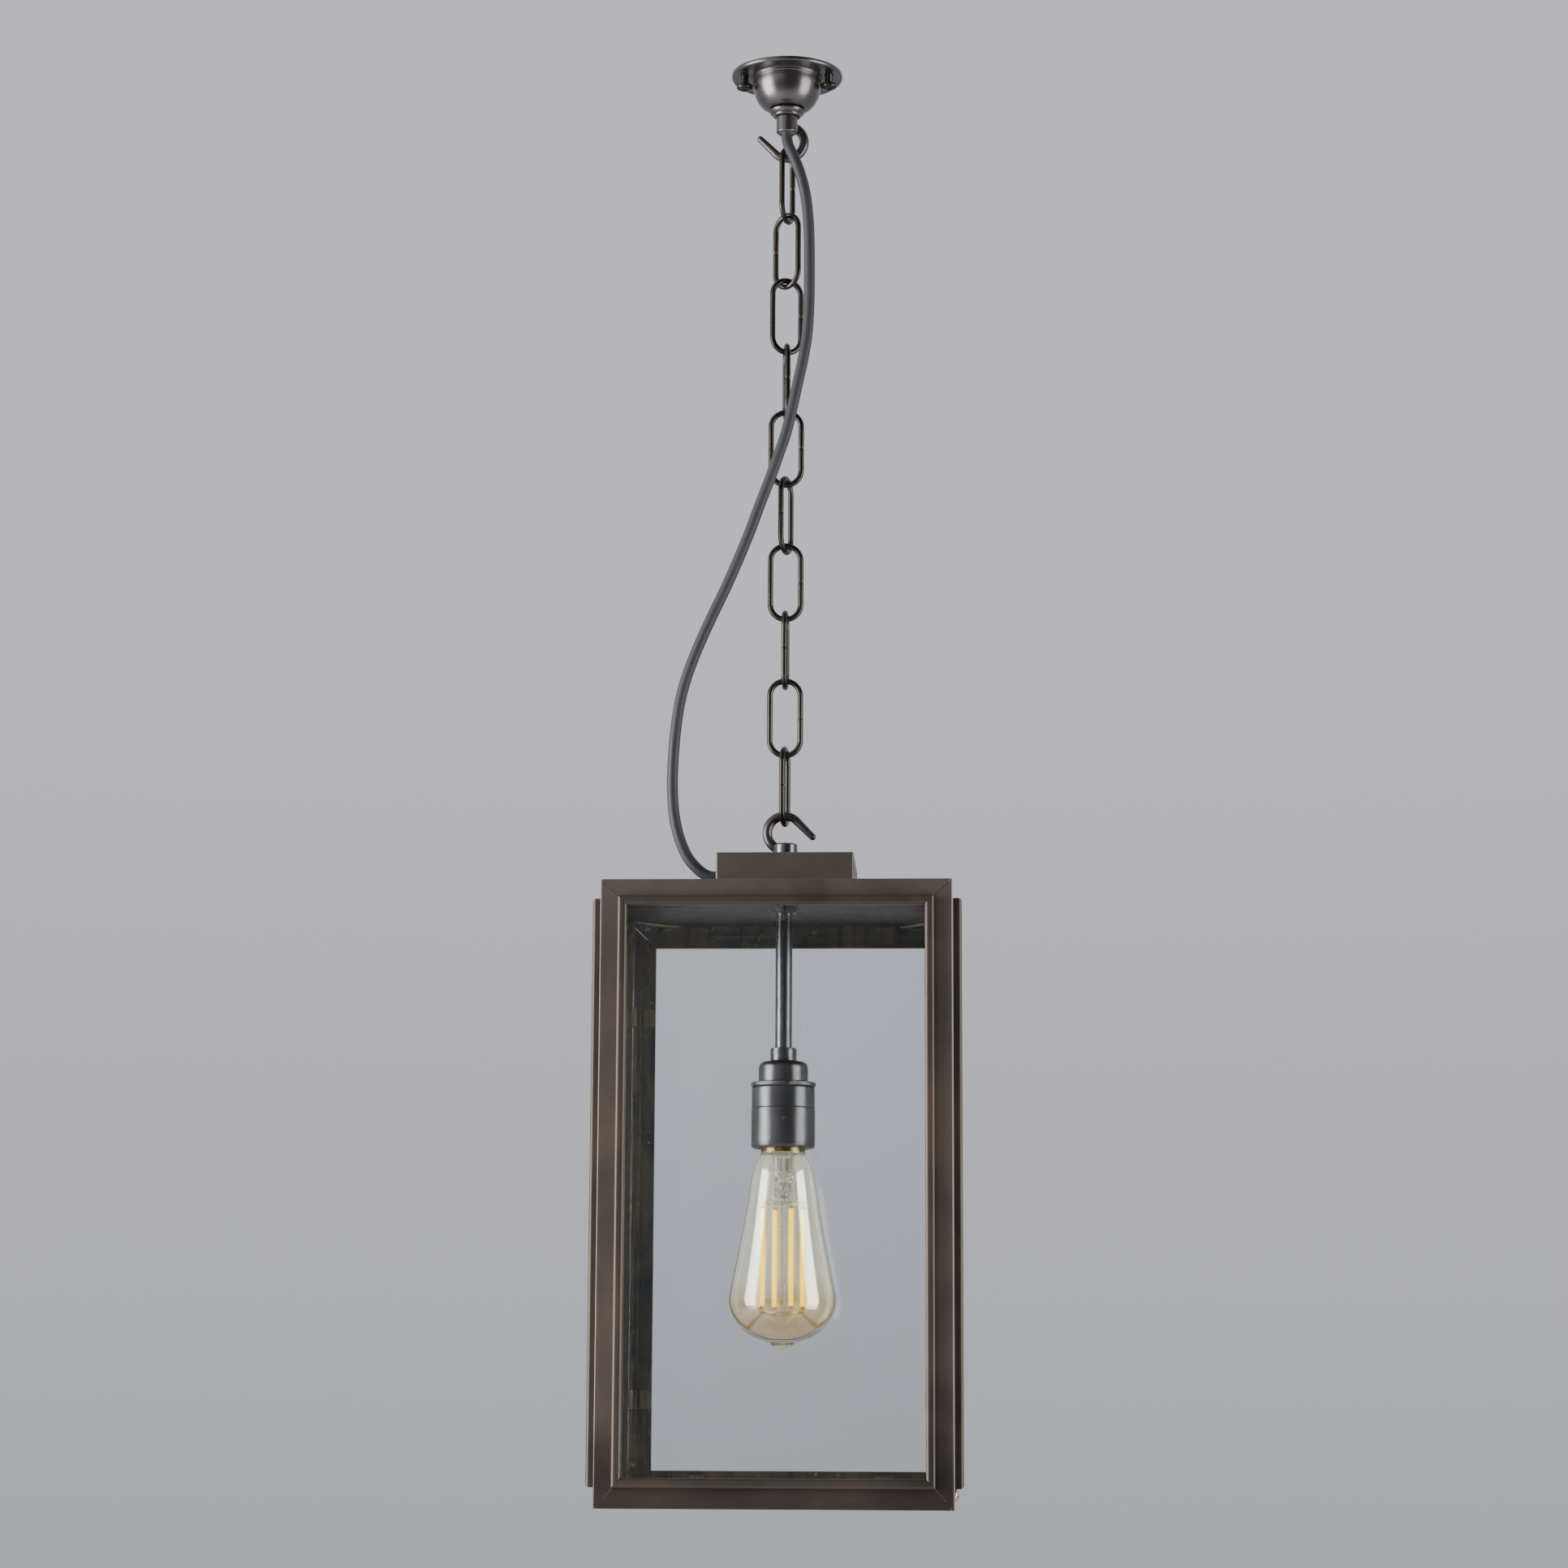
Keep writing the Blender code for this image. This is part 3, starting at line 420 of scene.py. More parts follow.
PLATE_BRONZE = patinated_metal(
    "plate_bronze", "dark_bronze",
    (0.098, 0.089, 0.088), (0.122, 0.111, 0.110), (0.146, 0.131, 0.126), (0.26, 0.235, 0.22),
    rough=(0.23, 0.29), wear=0.25, waver=0.00002,
)
GUNMETAL = patinated_metal(
    "gunmetal", "gunmetal",
    (0.084, 0.081, 0.087), (0.104, 0.100, 0.107), (0.124, 0.118, 0.122), (0.24, 0.23, 0.22),
    rough=(0.30, 0.37), wear=0.35, grain=0.08,
)
ROD_METAL = patinated_metal(
    "rod_metal", "gunmetal",
    (0.085, 0.084, 0.088), (0.105, 0.103, 0.108), (0.125, 0.121, 0.122), (0.24, 0.23, 0.22),
    rough=(0.27, 0.33), grain=0.05,
)
INSIDE = inside_metal("inside_patina", 1.2)
# a darker copy of the inside patina for the roof's underside: painted shade
ROOF_UNDERSIDE_SHADED = inside_metal("roof_underside_shaded_patina", 0.7)
SOLDER = mottled(
    "solder", "weathered_brass", {"scale": 150, "detail": 6, "rough": 0.65},
    ((0.35, (0.035, 0.037, 0.040)), (0.62, (0.17, 0.175, 0.18))), (0.4, 0.0003), (0.55, 0.34),
    Metallic=0.85,
)
BRASS = bright_brass("bright_brass", "bright_brass")
LAMP_BRASS = bright_brass("lamp_brass", "bright_brass", 0.45)
COPPER = bright_brass("copper_wire", "white_plastic")
FLEX = flex_rubber("grey_flex", "grey_flex")
WHITE_PLASTIC = moulded_plastic("white_plastic", "white_plastic", (0.78, 0.78, 0.74))
BLACK_PLASTIC = moulded_plastic("black_plastic", "white_plastic", (0.03, 0.03, 0.032))
FILAMENT_END = moulded_plastic("filament_end", "filament", (0.95, 0.42, 0.04))
CERAMIC = mottled(
    "ceramic", "ceramic", {"scale": 90, "detail": 5},
    ((0.35, (0.66, 0.63, 0.57)), (0.65, (0.80, 0.78, 0.73))), (0.1, 0.0002), (0.14, 0.28), Coat_Weight=0.6,
)
STEEL = mottled(
    "lead_wire", "filament", {"scale": 400},
    ((0.3, (0.42, 0.41, 0.40)), (0.7, (0.62, 0.61, 0.59))), (0.1, 0.00005), (0.22, 0.36), Metallic=1.0,
)
# A filament rod: the lit row of dies, pale yellow, inside half-clear silicone that glows orange
PHOSPHOR = mottled(
    "phosphor", "filament", {"scale": 500, "detail": 3},
    ((0.3, (1.0, 0.86, 0.0)), (0.7, (1.0, 0.93, 0.0))), (0.1, 0.0001), 0.5, glows=True,
    Emission_Strength=1.9,
)
SLEEVE = mottled(
    "phosphor_sleeve", "filament", {"scale": 300},
    ((0.3, (1.0, 0.62, 0.0)), (0.7, (1.0, 0.72, 0.0))), (0.1, 0.0001), 0.35, glows=True,
    Emission_Strength=1.3, Alpha=0.50,
)
PANE_GLASS = clear_glass("pane_glass", "clear_glass", (0.955, 0.993, 0.985), 9, (0.0, 0.010), 0.006, 0.5)
BULB_GLASS = lamp_glass("bulb_glass", "amber_glass")
STEM_GLASS = clear_glass("stem_glass", "amber_glass", (0.985, 0.975, 0.945), 60, (0.0, 0.02), 0.05, 1.0)
FROSTED_GLASS = clear_glass("frosted_glass", "amber_glass", (0.93, 0.93, 0.92), 90, (0.30, 0.45), 0.1, 1.0)


# ---------------------------------------------------------------- mesh helpers


def add_piece(name, work, body, finishes, replaces=None, sharp_deg=35):
    """A finished mesh riding on a body. It may stand for the CAD node it replaces."""
    bmesh.ops.recalc_face_normals(work, faces=work.faces)
    piece = linked(name, mesh_from(work, name))
    finishes = finishes if isinstance(finishes, list) else [finishes]
    for finish in finishes:
        piece.data.materials.append(finish)
    sharpened(piece, sharp_deg)
    if replaces:
        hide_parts(replaces)
    if body:
        piece.modifiers.new("even_shading", "WEIGHTED_NORMAL").keep_sharp = True
        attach(piece, body)
    return piece


def sharpened(piece, sharp_deg=35):
    piece.data.shade_smooth()
    piece.data.set_sharp_from_angle(angle=radians(sharp_deg))


def second_finish(piece, test):
    """Gives the faces that pass the test the piece's second finish."""
    for face in piece.data.polygons:
        if test(face):
            face.material_index = 1


def rounded(outline, radius, closed=True):
    """The outline with each of its corners rounded off."""
    found = []
    count, steps = len(outline), 3
    for i, corner in enumerate(outline):
        here, before, after = Vector(corner), Vector(outline[i - 1]), Vector(outline[(i + 1) % count])
        back, ahead = before - here, after - here
        open_end = not closed and i in (0, count - 1)
        if open_end or min(back.length, ahead.length) < 1e-7 or back.angle(ahead) > radians(172):
            found.append(tuple(corner))
            continue
        reach = min(radius, 0.42 * back.length, 0.42 * ahead.length)
        start, end = here + back.normalized() * reach, here + ahead.normalized() * reach
        for k in range(steps + 1):
            t = k / steps
            found.append(tuple((1 - t) ** 2 * start + 2 * t * (1 - t) * here + t * t * end))
    return found


def skinned(work, rings, capped=True):
    """Faces between each ring of vertices and the next, and one over each end."""
    if capped:
        work.faces.new(rings[0])
        work.faces.new(rings[-1])
    for ring, following in zip(rings, rings[1:]):
        for k in range(len(ring)):
            nxt = (k + 1) % len(ring)
            corners = list(dict.fromkeys((ring[k], ring[nxt], following[nxt], following[k])))
            if len(corners) > 2:
                work.faces.new(corners)
    return work


def turned(outline, segments=96, axis_at=(0, 0), ripple=None):
    """A closed (radius, height) outline turned about a plumb axis. ripple gives a point its new radius."""
    work = bmesh.new()
    rings = []
    for r, z in outline:
        if r < 1e-7:
            rings.append([work.verts.new((*axis_at, z))] * segments)
            continue
        ring = []
        for a in turn_angles(segments):
            radius = ripple(a, r, z) if ripple else r
            ring.append(work.verts.new((axis_at[0] + radius * cos(a), axis_at[1] + radius * sin(a), z)))
        rings.append(ring)
    return skinned(work, [*rings, rings[0]], capped=False)


def on_load(outline, segments=96, ripple=None):
    return turned(outline, segments, LOAD.xy, ripple)


def closed_on_axis(outer):
    return [(0, outer[0][1]), *outer, (0, outer[-1][1])]


def bored(outer, inner_r, top, bottom):
    return [*outer, (inner_r, bottom), (inner_r, top)]


def rises(base, *points):
    """Points of an outline, their heights given from a base."""
    return [(r, base + rise) for r, rise in points]


def column(r, start, end, rows):
    """Evenly spaced points of an outline, all at one radius."""
    return [(r, start + (end - start) * i / rows) for i in range(rows + 1)]


def threaded(depth, pitch, applies):
    """A ripple that cuts a screw thread where applies(r, z) holds."""
    def ripple(a, r, z):
        return r - depth * (0.5 + 0.5 * sin(a + 2 * pi * z / pitch)) if applies(r, z) else r

    return ripple


def circle_at(work, centre, radius, across, side, count):
    angles = turn_angles(count)
    return [work.verts.new(centre + radius * cos(a) * across + radius * sin(a) * side) for a in angles]


def swept(points, radii, sides=20, closed=False, work=None):
    """A round bar along any points, without twist. radii is one number or one for each point."""
    work = work or bmesh.new()
    points = [Vector(p) for p in points]
    count = len(points)
    if not isinstance(radii, list):
        radii = [radii] * count
    normal, rings = None, []
    for i, (centre, radius) in enumerate(zip(points, radii)):
        before = points[(i - 1) % count] if closed or i else centre
        after = points[(i + 1) % count] if closed or i < count - 1 else centre
        along = (after - before).normalized()
        if normal is None:
            helper = Vector((0, 1, 0)) if abs(along.y) < 0.9 else Vector((1, 0, 0))
            normal = along.cross(helper).normalized()
        normal = (normal - along * normal.dot(along)).normalized()
        rings.append(circle_at(work, centre, radius, normal, along.cross(normal), sides))
    if closed:
        # the first and last rings may be turned against each other: join each vertex to its nearest
        first, last = rings[0], rings[-1]
        shift = min(range(sides), key=lambda s: (first[s].co - last[0].co).length)
        rings.append(first[shift:] + first[:shift])
    return skinned(work, rings, capped=not closed)


def rounded_ends(points, radius, steps=4):
    """Points and radii of a bar whose two ends are domed."""
    first, last = (points[0] - points[1]).normalized(), (points[-1] - points[-2]).normalized()
    angles = [radians(90 * k / steps) for k in range(steps)]
    start = [points[0] + first * radius * (cos(a) - 1) for a in angles]
    end = [points[-1] + last * radius * (cos(a) - 1) for a in reversed(angles)]
    sizes = [max(radius * sin(a), radius * 0.12) for a in angles]
    return start + points[1:-1] + end, sizes + [radius] * (len(points) - 2) + sizes[::-1]


def softened(work, bevel, segments=2):
    edges = list(work.edges)
    bmesh.ops.bevel(work, geom=edges, offset=bevel, segments=segments, profile=0.5, affect="EDGES")
    return work


def slab(low, high, bevel, work=None, segments=2):
    """A box between two corners with rounded edges."""
    low, high = Vector(low), Vector(high)
    part = bmesh.new()
    place = Matrix.Translation((low + high) / 2) @ Matrix.Diagonal((*(high - low), 1))
    bmesh.ops.create_cube(part, size=1, matrix=place)
    return merged(work, softened(part, bevel, segments))


def merged(work, part):
    """Adds one bmesh to another, if there is one."""
    if work is None:
        return part
    mesh = mesh_from(part, "part")
    work.from_mesh(mesh)
    bpy.data.meshes.remove(mesh)
    return work


def extruded(points, shift, bevel):
    """A flat outline drawn out along a shift, its edges rounded."""
    work = bmesh.new()
    face = work.faces.new([work.verts.new(point) for point in points])
    made = bmesh.ops.extrude_face_region(work, geom=[face])
    drawn = [v for v in made["geom"] if isinstance(v, bmesh.types.BMVert)]
    bmesh.ops.translate(work, vec=shift, verts=drawn)
    return softened(work, bevel)


def placed(work, matrix):
    bmesh.ops.transform(work, matrix=matrix, verts=work.verts)
    return work


def turn_about_load(work, quarter):
    """Turns a mesh built on the front side, about the load line, to one of the four sides."""
    return placed(work, Matrix.Translation(LOAD) @ Matrix.Rotation(quarter * pi / 2, 4, "Z"))


def facing_x(point, roll_deg=0):
    """Stands what was built upright at the origin at a point, pointing along +x."""
    roll = Matrix.Rotation(radians(roll_deg), 4, "X")
    return Matrix.Translation(point) @ roll @ Matrix.Rotation(pi / 2, 4, "Y")


def turn_angles(count, first=0.0):
    return [first + 2 * pi * k / count for k in range(count)]


def arc(centre, radius, start_deg, end_deg, steps):
    angles = [radians(start_deg + (end_deg - start_deg) * i / steps) for i in range(steps + 1)]
    return [(centre[0] + radius * cos(a), centre[1] + radius * sin(a)) for a in angles]


def cut_by(piece, works):
    """Cuts holes with hidden solids and applies the cuts."""
    cutters = []
    for work in works:
        bmesh.ops.recalc_face_normals(work, faces=work.faces)
        cutter = linked("cutter", mesh_from(work, "cutter"))
        cutter.hide_render = True
        cutters.append(cutter)
        hole = piece.modifiers.new("hole", "BOOLEAN")
        hole.operation = "DIFFERENCE"
        hole.object = cutter
        piece.modifiers.move(len(piece.modifiers) - 1, 0)
    graph = bpy.context.evaluated_depsgraph_get()
    mesh = bpy.data.meshes.new_from_object(piece.evaluated_get(graph))
    piece.modifiers.clear()
    piece.data = mesh
    for cutter in cutters:
        bpy.data.objects.remove(cutter, do_unlink=True)


def through(route, step):
    """Points spaced evenly along a Catmull-Rom curve through the route's points."""
    route = [Vector(p) for p in route]
    ends = [2 * route[0] - route[1], *route, 2 * route[-1] - route[-2]]
    fine = [route[0]]
    for a, b, c, d in zip(ends, ends[1:], ends[2:], ends[3:]):
        for i in range(1, 31):
            t = i / 30
            square, cube = 2 * a - 5 * b + 4 * c - d, 3 * b - 3 * c + d - a
            fine.append(0.5 * (2 * b + (c - a) * t + square * t * t + cube * t * t * t))
    lengths = [0.0]
    for before, after in zip(fine, fine[1:]):
        lengths.append(lengths[-1] + (after - before).length)
    count = max(2, round(lengths[-1] / step))
    found, at = [], 0
    for i in range(count + 1):
        want = lengths[-1] * i / count
        while at < len(fine) - 2 and lengths[at + 1] < want:
            at += 1
        share = (want - lengths[at]) / (lengths[at + 1] - lengths[at])
        found.append(fine[at].lerp(fine[at + 1], min(share, 1.0)))
    return found


def fillet_blob(centre, size, seed, work=None, detail=3):
    """A run of solder or braze: a flattened lump with a wandering surface."""
    part = bmesh.new()
    bmesh.ops.create_icosphere(part, subdivisions=detail, radius=1.0)
    shift = Vector((seed * 3.7, seed * 1.9, seed * 5.3))
    for v in part.verts:
        swell = 1 + 0.30 * noise.noise(v.co * 1.7 + shift) + 0.12 * noise.noise(v.co * 4.1 + shift)
        v.co = Vector((v.co.x * size[0], v.co.y * size[1], v.co.z * size[2])) * swell + Vector(centre)
    return merged(work, part)


# ---------------------------------------------------------------- ceiling end

FLANGE_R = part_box("ceiling_plate")[1].x
DOME_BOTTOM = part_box("ceiling_plate")[0].z
DOME_R, DOME_NECK_R, DOME_TOP, DOME_WALL = 0.0214, 0.0105, -0.0042, 0.0012
WIRE_WAY_R, COLLAR_R, COLLAR_BORE_R, COLLAR_END = 0.0045, 0.00665, 0.0042, -0.0380
WASHER_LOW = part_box("stepped_washer")[0].z


def dome_side(wall):
    """The bowl's side, from the flange down to its neck, a wall's thickness in."""
    wide, tall = DOME_R - DOME_NECK_R - wall, DOME_TOP - DOME_BOTTOM - wall
    angles = (radians(90 * i / 20) for i in range(21))
    return [(DOME_NECK_R + wide * cos(a), DOME_TOP - tall * sin(a)) for a in angles]


def add_ceiling_plate():
    rim = [
        (FLANGE_R, 0), (FLANGE_R, -0.0017), (FLANGE_R - 0.0007, -0.0026), (FLANGE_R - 0.0017, -0.0025),
        (FLANGE_R - 0.0024, -0.0018), (DOME_R + 0.0016, -0.0018), (DOME_R + 0.0009, -0.0022),
        (DOME_R + 0.0008, -0.0034), (DOME_R + 0.0001, -0.0039),
    ]
    outline = [
        *rounded(rim, 0.0005, closed=False), *dome_side(0), (WIRE_WAY_R, DOME_BOTTOM),
        (WIRE_WAY_R, DOME_BOTTOM + DOME_WALL), *reversed(dome_side(DOME_WALL)), (DOME_R - DOME_WALL, 0),
    ]
    plate = add_piece("ceiling_rose", turned(outline, 128), "ceiling", PLATE_BRONZE, "ceiling_plate")
    way = closed_on_axis([(0.0029, 0.003), (0.0029, -0.006)])
    cut_by(plate, [turned(way, 32, middle(f"fixing_screw_{side}").xy) for side in ("left", "right")])


def add_washer_and_collar():
    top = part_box("stepped_washer")[1].z
    outline = [
        *rises(top, (0.0103, 0), (0.0110, -0.0005), (0.0111, -0.0012), (0.0107, -0.0020), (0.0098, -0.0030)),
        *rises(top, (0.0088, -0.0034), (0.0086, -0.0038)), *rises(WASHER_LOW, (0.0086, 0.0005), (0.0080, 0)),
    ]
    work = turned(rounded(bored(outline, WIRE_WAY_R, top, WASHER_LOW), 0.0003))
    add_piece("turned_washer", work, "ceiling", PLATE_BRONZE, "stepped_washer")

    top = WASHER_LOW - GAP
    outline = [(COLLAR_R, top), (COLLAR_R, COLLAR_END + 0.0010), (COLLAR_R - 0.0010, COLLAR_END)]
    work = turned(rounded(bored(outline, COLLAR_BORE_R, top, COLLAR_END), 0.00025))
    collar = add_piece("cord_collar", work, "ceiling", [PLATE_BRONZE, BRASS], "cable_collar")
    second_finish(collar, lambda face: face.center.xy.length < COLLAR_BORE_R + 0.0004)

    low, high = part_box("cord_grip")
    outline = closed_on_axis([(COLLAR_BORE_R - GAP, high.z), (COLLAR_BORE_R - GAP, low.z)])
    add_piece("cord_grip_bush", turned(rounded(outline, 0.0004), 48), "ceiling", WHITE_PLASTIC, "cord_grip")


def add_fixing_screws():
    """Round-head screws that stand off the flange, each with a cross recess."""
    shank_r, head_r, head_h, dome_flat = 0.0025, 0.0050, 0.0014, 0.42
    thread = threaded(0.00022, -0.0009, lambda r, z: r > 0.002)
    for side in ("left", "right"):
        low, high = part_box(f"fixing_screw_{side}")
        at = middle(f"fixing_screw_{side}").xy
        head_top = high.z - (0.0082 - GAP)
        shank = column(shank_r, high.z - 0.0001, head_top - 0.0001, 26)
        work = turned(closed_on_axis(shank), 32, at, thread)
        dome = [(x, head_top - head_h - z * dome_flat) for x, z in arc((0, 0), head_r, 0, 72, 8)]
        merged(work, turned([(0, head_top), (head_r, head_top), *dome, (0, dome[-1][1] - 0.0001)], 48, at))
        screw = add_piece(f"ceiling_screw_{side}", work, "ceiling", CHAIN_BRONZE, f"fixing_screw_{side}")
        cross = []
        for turn in (25, 115):
            slot = slab((-0.0026, -0.00045, -0.0014), (0.0026, 0.00045, 0.0014), 0.0001)
            stand = Matrix.Translation((*at, low.z)) @ Matrix.Rotation(radians(turn), 4, "Z")
            cross.append(placed(slot, stand))
        cut_by(screw, cross)


def add_terminal_block():
    """A three-way block with its clamp screws and the wire tails that run down to the cable."""
    low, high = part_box("terminal_block")
    third = (high.x - low.x) / 3
    block, screws = bmesh.new(), bmesh.new()
    clamp = closed_on_axis([(0.0010, high.z + 0.0004), (0.0010, high.z - 0.0004)])
    for way in range(3):
        left, right = low.x + third * way, low.x + third * (way + 1)
        slab((left + 0.0001, low.y, low.z), (right - 0.0001, high.y, high.z - 0.0012), 0.0005, block)
        near = (left + 0.0009, low.y + 0.0012, high.z - 0.0030)
        slab(near, (right - 0.0009, high.y - 0.0012, high.z), 0.0004, block)
        for y in (low.y + 0.0026, high.y - 0.0026):
            merged(screws, turned(clamp, 16, ((left + right) / 2, y)))
    add_piece("connector_block", block, "ceiling", WHITE_PLASTIC, "terminal_block")
    add_piece("connector_screws", screws, "ceiling", BRASS)
    for name, finish, way in (("wire_live", COPPER, 0), ("wire_neutral", FLEX, 2)):
        x = low.x + third * (way + 0.5)
        start = Vector((x, low.y + 0.0004, (low.z + high.z) / 2))
        route = [
            start, start + Vector((0, -0.0022, -0.0004)), start + Vector((-0.15 * x, -0.0028, -0.0040)),
            (x * 0.35, -0.0030, -0.0182), (x * 0.12, -0.0012, -0.0230), (x * 0.1, 0, -0.0262),
        ]
        add_piece(name, swept(through(route, 0.0008), 0.0009, 12), "ceiling", finish)


# ---------------------------------------------------------------- hooks and chain

HOOK_R, HOOK_WIRE_R, HOOK_NECK_R, HOOK_TIP_R = 0.0104, 0.00295, 0.0025, 0.00205
HOOK_START_DEG, HOOK_LEAVE_DEG, HOOK_TIP_RUN = 105, -136.5, 0.0149
LINK_WIRE_R, LINK_BEND_R, LINK_REACH = 0.00175, 0.00925, 0.04595
# A link's butt joint: place along the leg, and depth
LINK_JOINT = ((0.0020, 0), (0.00045, 0.00003), (0.00012, 0.00022), (0.0, 0.00024))


def hook_bar(loop_centre, sign):
    """A hook bent from bar: a loop, a straight taper and a rounded tip. A sign of -1 turns it over."""
    points = arc((0, 0), HOOK_R, HOOK_START_DEG, HOOK_LEAVE_DEG, 60)
    radii = [HOOK_WIRE_R] * 35 + [HOOK_WIRE_R - (HOOK_WIRE_R - HOOK_NECK_R) * i / 26 for i in range(26)]
    leave = radians(HOOK_LEAVE_DEG)
    ahead = Vector((sin(leave), -cos(leave)))
    loop_end, runs = Vector(points[-1]), 16
    for i in range(1, runs + 1):
        run, lift = (HOOK_TIP_RUN - HOOK_TIP_R) * i / runs, 0.0006 * (i / runs) ** 2
        points.append(loop_end + ahead * run + Vector((-lift, lift * 0.4)))
        radii.append(HOOK_NECK_R - (HOOK_NECK_R - HOOK_TIP_R) * i / runs)
    end = points[-1]
    for a in (radians(15 * k) for k in range(1, 6)):
        points.append(end + ahead * HOOK_TIP_R * sin(a))
        radii.append(HOOK_TIP_R * cos(a))
    return swept([loop_centre + Vector((sign * x, 0, sign * z)) for x, z in points], radii, 24)


def add_top_hook():
    hang = Vector(JOINTS["link_01_swing"]["pos_m"])
    add_piece("hook_above", hook_bar(hang + Vector((0, 0, HOOK_R)), 1), "ceiling", HOOK_BRONZE)
    braze = fillet_blob(hang + Vector((-0.0022, -0.0018, 2 * HOOK_R)), (0.0040, 0.0022, 0.0024), 3)
    add_piece("hook_braze_above", braze, "ceiling", PLATE_BRONZE)


def add_chain():
    """Oval links bent from round wire, each with a fine butt joint in one leg, on alternate sides."""
    marks = [*LINK_JOINT, *((-at, depth) for at, depth in LINK_JOINT[-2::-1])]
    over = arc((0, LINK_REACH - LINK_BEND_R), LINK_BEND_R, 180, 0, 28)
    right = [(LINK_BEND_R, LINK_REACH / 2 + at) for at, _ in marks]
    under = arc((0, LINK_BEND_R), LINK_BEND_R, 0, -180, 28)
    left = [(-LINK_BEND_R, LINK_REACH / 2 - at) for at, _ in marks]
    outline = [*over, *right, *under, *left]
    bend, joint, plain = [0] * len(over), [depth for _, depth in marks], [0] * len(marks)
    for number, link in enumerate(LINKS):
        below = JOINTS[f"{[*LINKS, 'lantern'][number + 1]}_swing"]
        low, plane = Vector(below["pos_m"]), Vector(below["axis"])
        depths = [*bend, *plain, *bend, *joint] if number % 2 else [*bend, *joint, *bend, *plain]
        waver = [0.00006 * noise.noise(Vector((x * 90, z * 90, number * 7.0))) for x, z in outline]
        centres = [low + plane * x + Vector((0, 0, z)) for x, z in outline]
        radii = [LINK_WIRE_R - depth + more for depth, more in zip(depths, waver)]
        add_piece(f"chain_{link}", swept(centres, radii, 16, closed=True), link, CHAIN_BRONZE, link)


# ---------------------------------------------------------------- lantern: hanger and cap


def add_hanger():
    hang = Vector(JOINTS["lantern_swing"]["pos_m"])
    loop = hang + Vector((0, 0, LINK_WIRE_R + HOOK_WIRE_R + GAP - HOOK_R))
    add_piece("hook_below", hook_bar(loop, -1), "lantern", HOOK_BRONZE)
    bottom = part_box("lower_hook")[0].z
    top, boss_r, groove_r = bottom + 0.0098, 0.0071, 0.0066
    outline = closed_on_axis([
        (boss_r - 0.0010, top), (boss_r, top - 0.0009),
        *rises(bottom, (boss_r, 0.0020), (groove_r, 0.0017), (groove_r, 0.0013)),
        *rises(bottom, (boss_r, 0.0010), (boss_r, 0)),
    ])
    work = turned(rounded(outline, 0.0003), 96, from_load(0.0010, -0.005, 0).xy)
    add_piece("hook_boss", work, "lantern", PLATE_BRONZE, "lower_hook")
    braze_at = (loop.x - 0.0030, LOAD.y - 0.0005, loop.z - HOOK_R + 0.0006)
    braze = fillet_blob(braze_at, (0.0034, 0.0030, 0.0030), 5)
    add_piece("hook_braze_below", braze, "lantern", PLATE_BRONZE)


def add_cap():
    """A folded square sheet cap with soft edges, open below, and its cable grommet."""
    low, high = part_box("cap")
    wall, near = 0.0015, 1e-5
    work = slab(low, high, 0.0012, segments=4)
    cap = add_piece("canopy_cap", work, "lantern", [FRAME_BRASS, INSIDE], "cap")
    room_low, room_high = low + Vector((wall, wall, -0.004)), high - Vector((wall, wall, wall))
    entry = middle("cable_grommet")
    aim = facing_x((low.x, entry.y, entry.z))
    hole = turned(closed_on_axis([(0.0049, 0.004), (0.0049, -0.004)]), 48)
    cut_by(cap, [slab(room_low, room_high, 0.0006), placed(hole, aim)])

    def in_room(face):
        x, y, z = face.center
        between = room_low.x - near < x < room_high.x + near and room_low.y - near < y < room_high.y + near
        return between and low.z + near < z < room_high.z + near

    second_finish(cap, in_room)
    sharpened(cap)

    rim = [
        (0.0046, 0.0026), (0.0046, -GAP), (0.0060, -GAP), (0.0060, -0.0012), (0.0053, -0.0024),
        (0.0042, -0.0025), (0.0040, -0.0021),
    ]
    work = turned(closed_on_axis(rounded(rim, 0.0003, closed=False)), 64)
    add_piece("cap_grommet", placed(work, aim), "lantern", FLEX, "cable_grommet")


# ---------------------------------------------------------------- lantern: frame, beads and glass


def post_work():
    """An angle with a softly rounded heel, its ends cut to the rails' mitres."""
    stub, heel, lip = SHEET + MITRE, 0.0008, 0.00015
    height = BOX_TOP - BOX_BOTTOM
    levels = (
        (0, stub), (-stub - MITRE, stub), (-FLAT_TOP - MITRE, FLAT_SIDE),
        (-height + FLAT_BOTTOM + MITRE, FLAT_SIDE), (-height + stub + MITRE, stub), (-height, stub),
    )
    work = bmesh.new()
    rings = []
    for z, arm in levels:
        section = [
            *arc((-heel, heel), heel, 0, -90, 5), (-arm + lip, 0), (-arm, lip), (-arm, SHEET - lip),
            (-arm + lip, SHEET), (-SHEET - lip, SHEET), (-SHEET, SHEET + lip),
            (-SHEET, max(arm - lip, SHEET + lip)), (-SHEET + lip, arm), (-lip, arm), (0, arm - lip),
        ]
        rings.append([work.verts.new((HALF_BOX + x, -HALF_BOX + y, BOX_TOP + z)) for x, y in section])
    return skinned(work, rings)


def rail_work(width, rim, inward):
    """A mitred flat strip on the front side. inward is 1 where it stands up from the rim, or -1."""
    long, short = HALF_BOX - SHEET - 2 * MITRE, HALF_BOX - FLAT_SIDE - 2 * MITRE
    outline = ((-long, 0), (long, 0), (long, SHEET), (short, width), (-short, width), (-long, SHEET))
    points = [(x, -HALF_BOX, rim + inward * across) for x, across in outline]
    return extruded(points, (0, SHEET, 0), 0.00015)


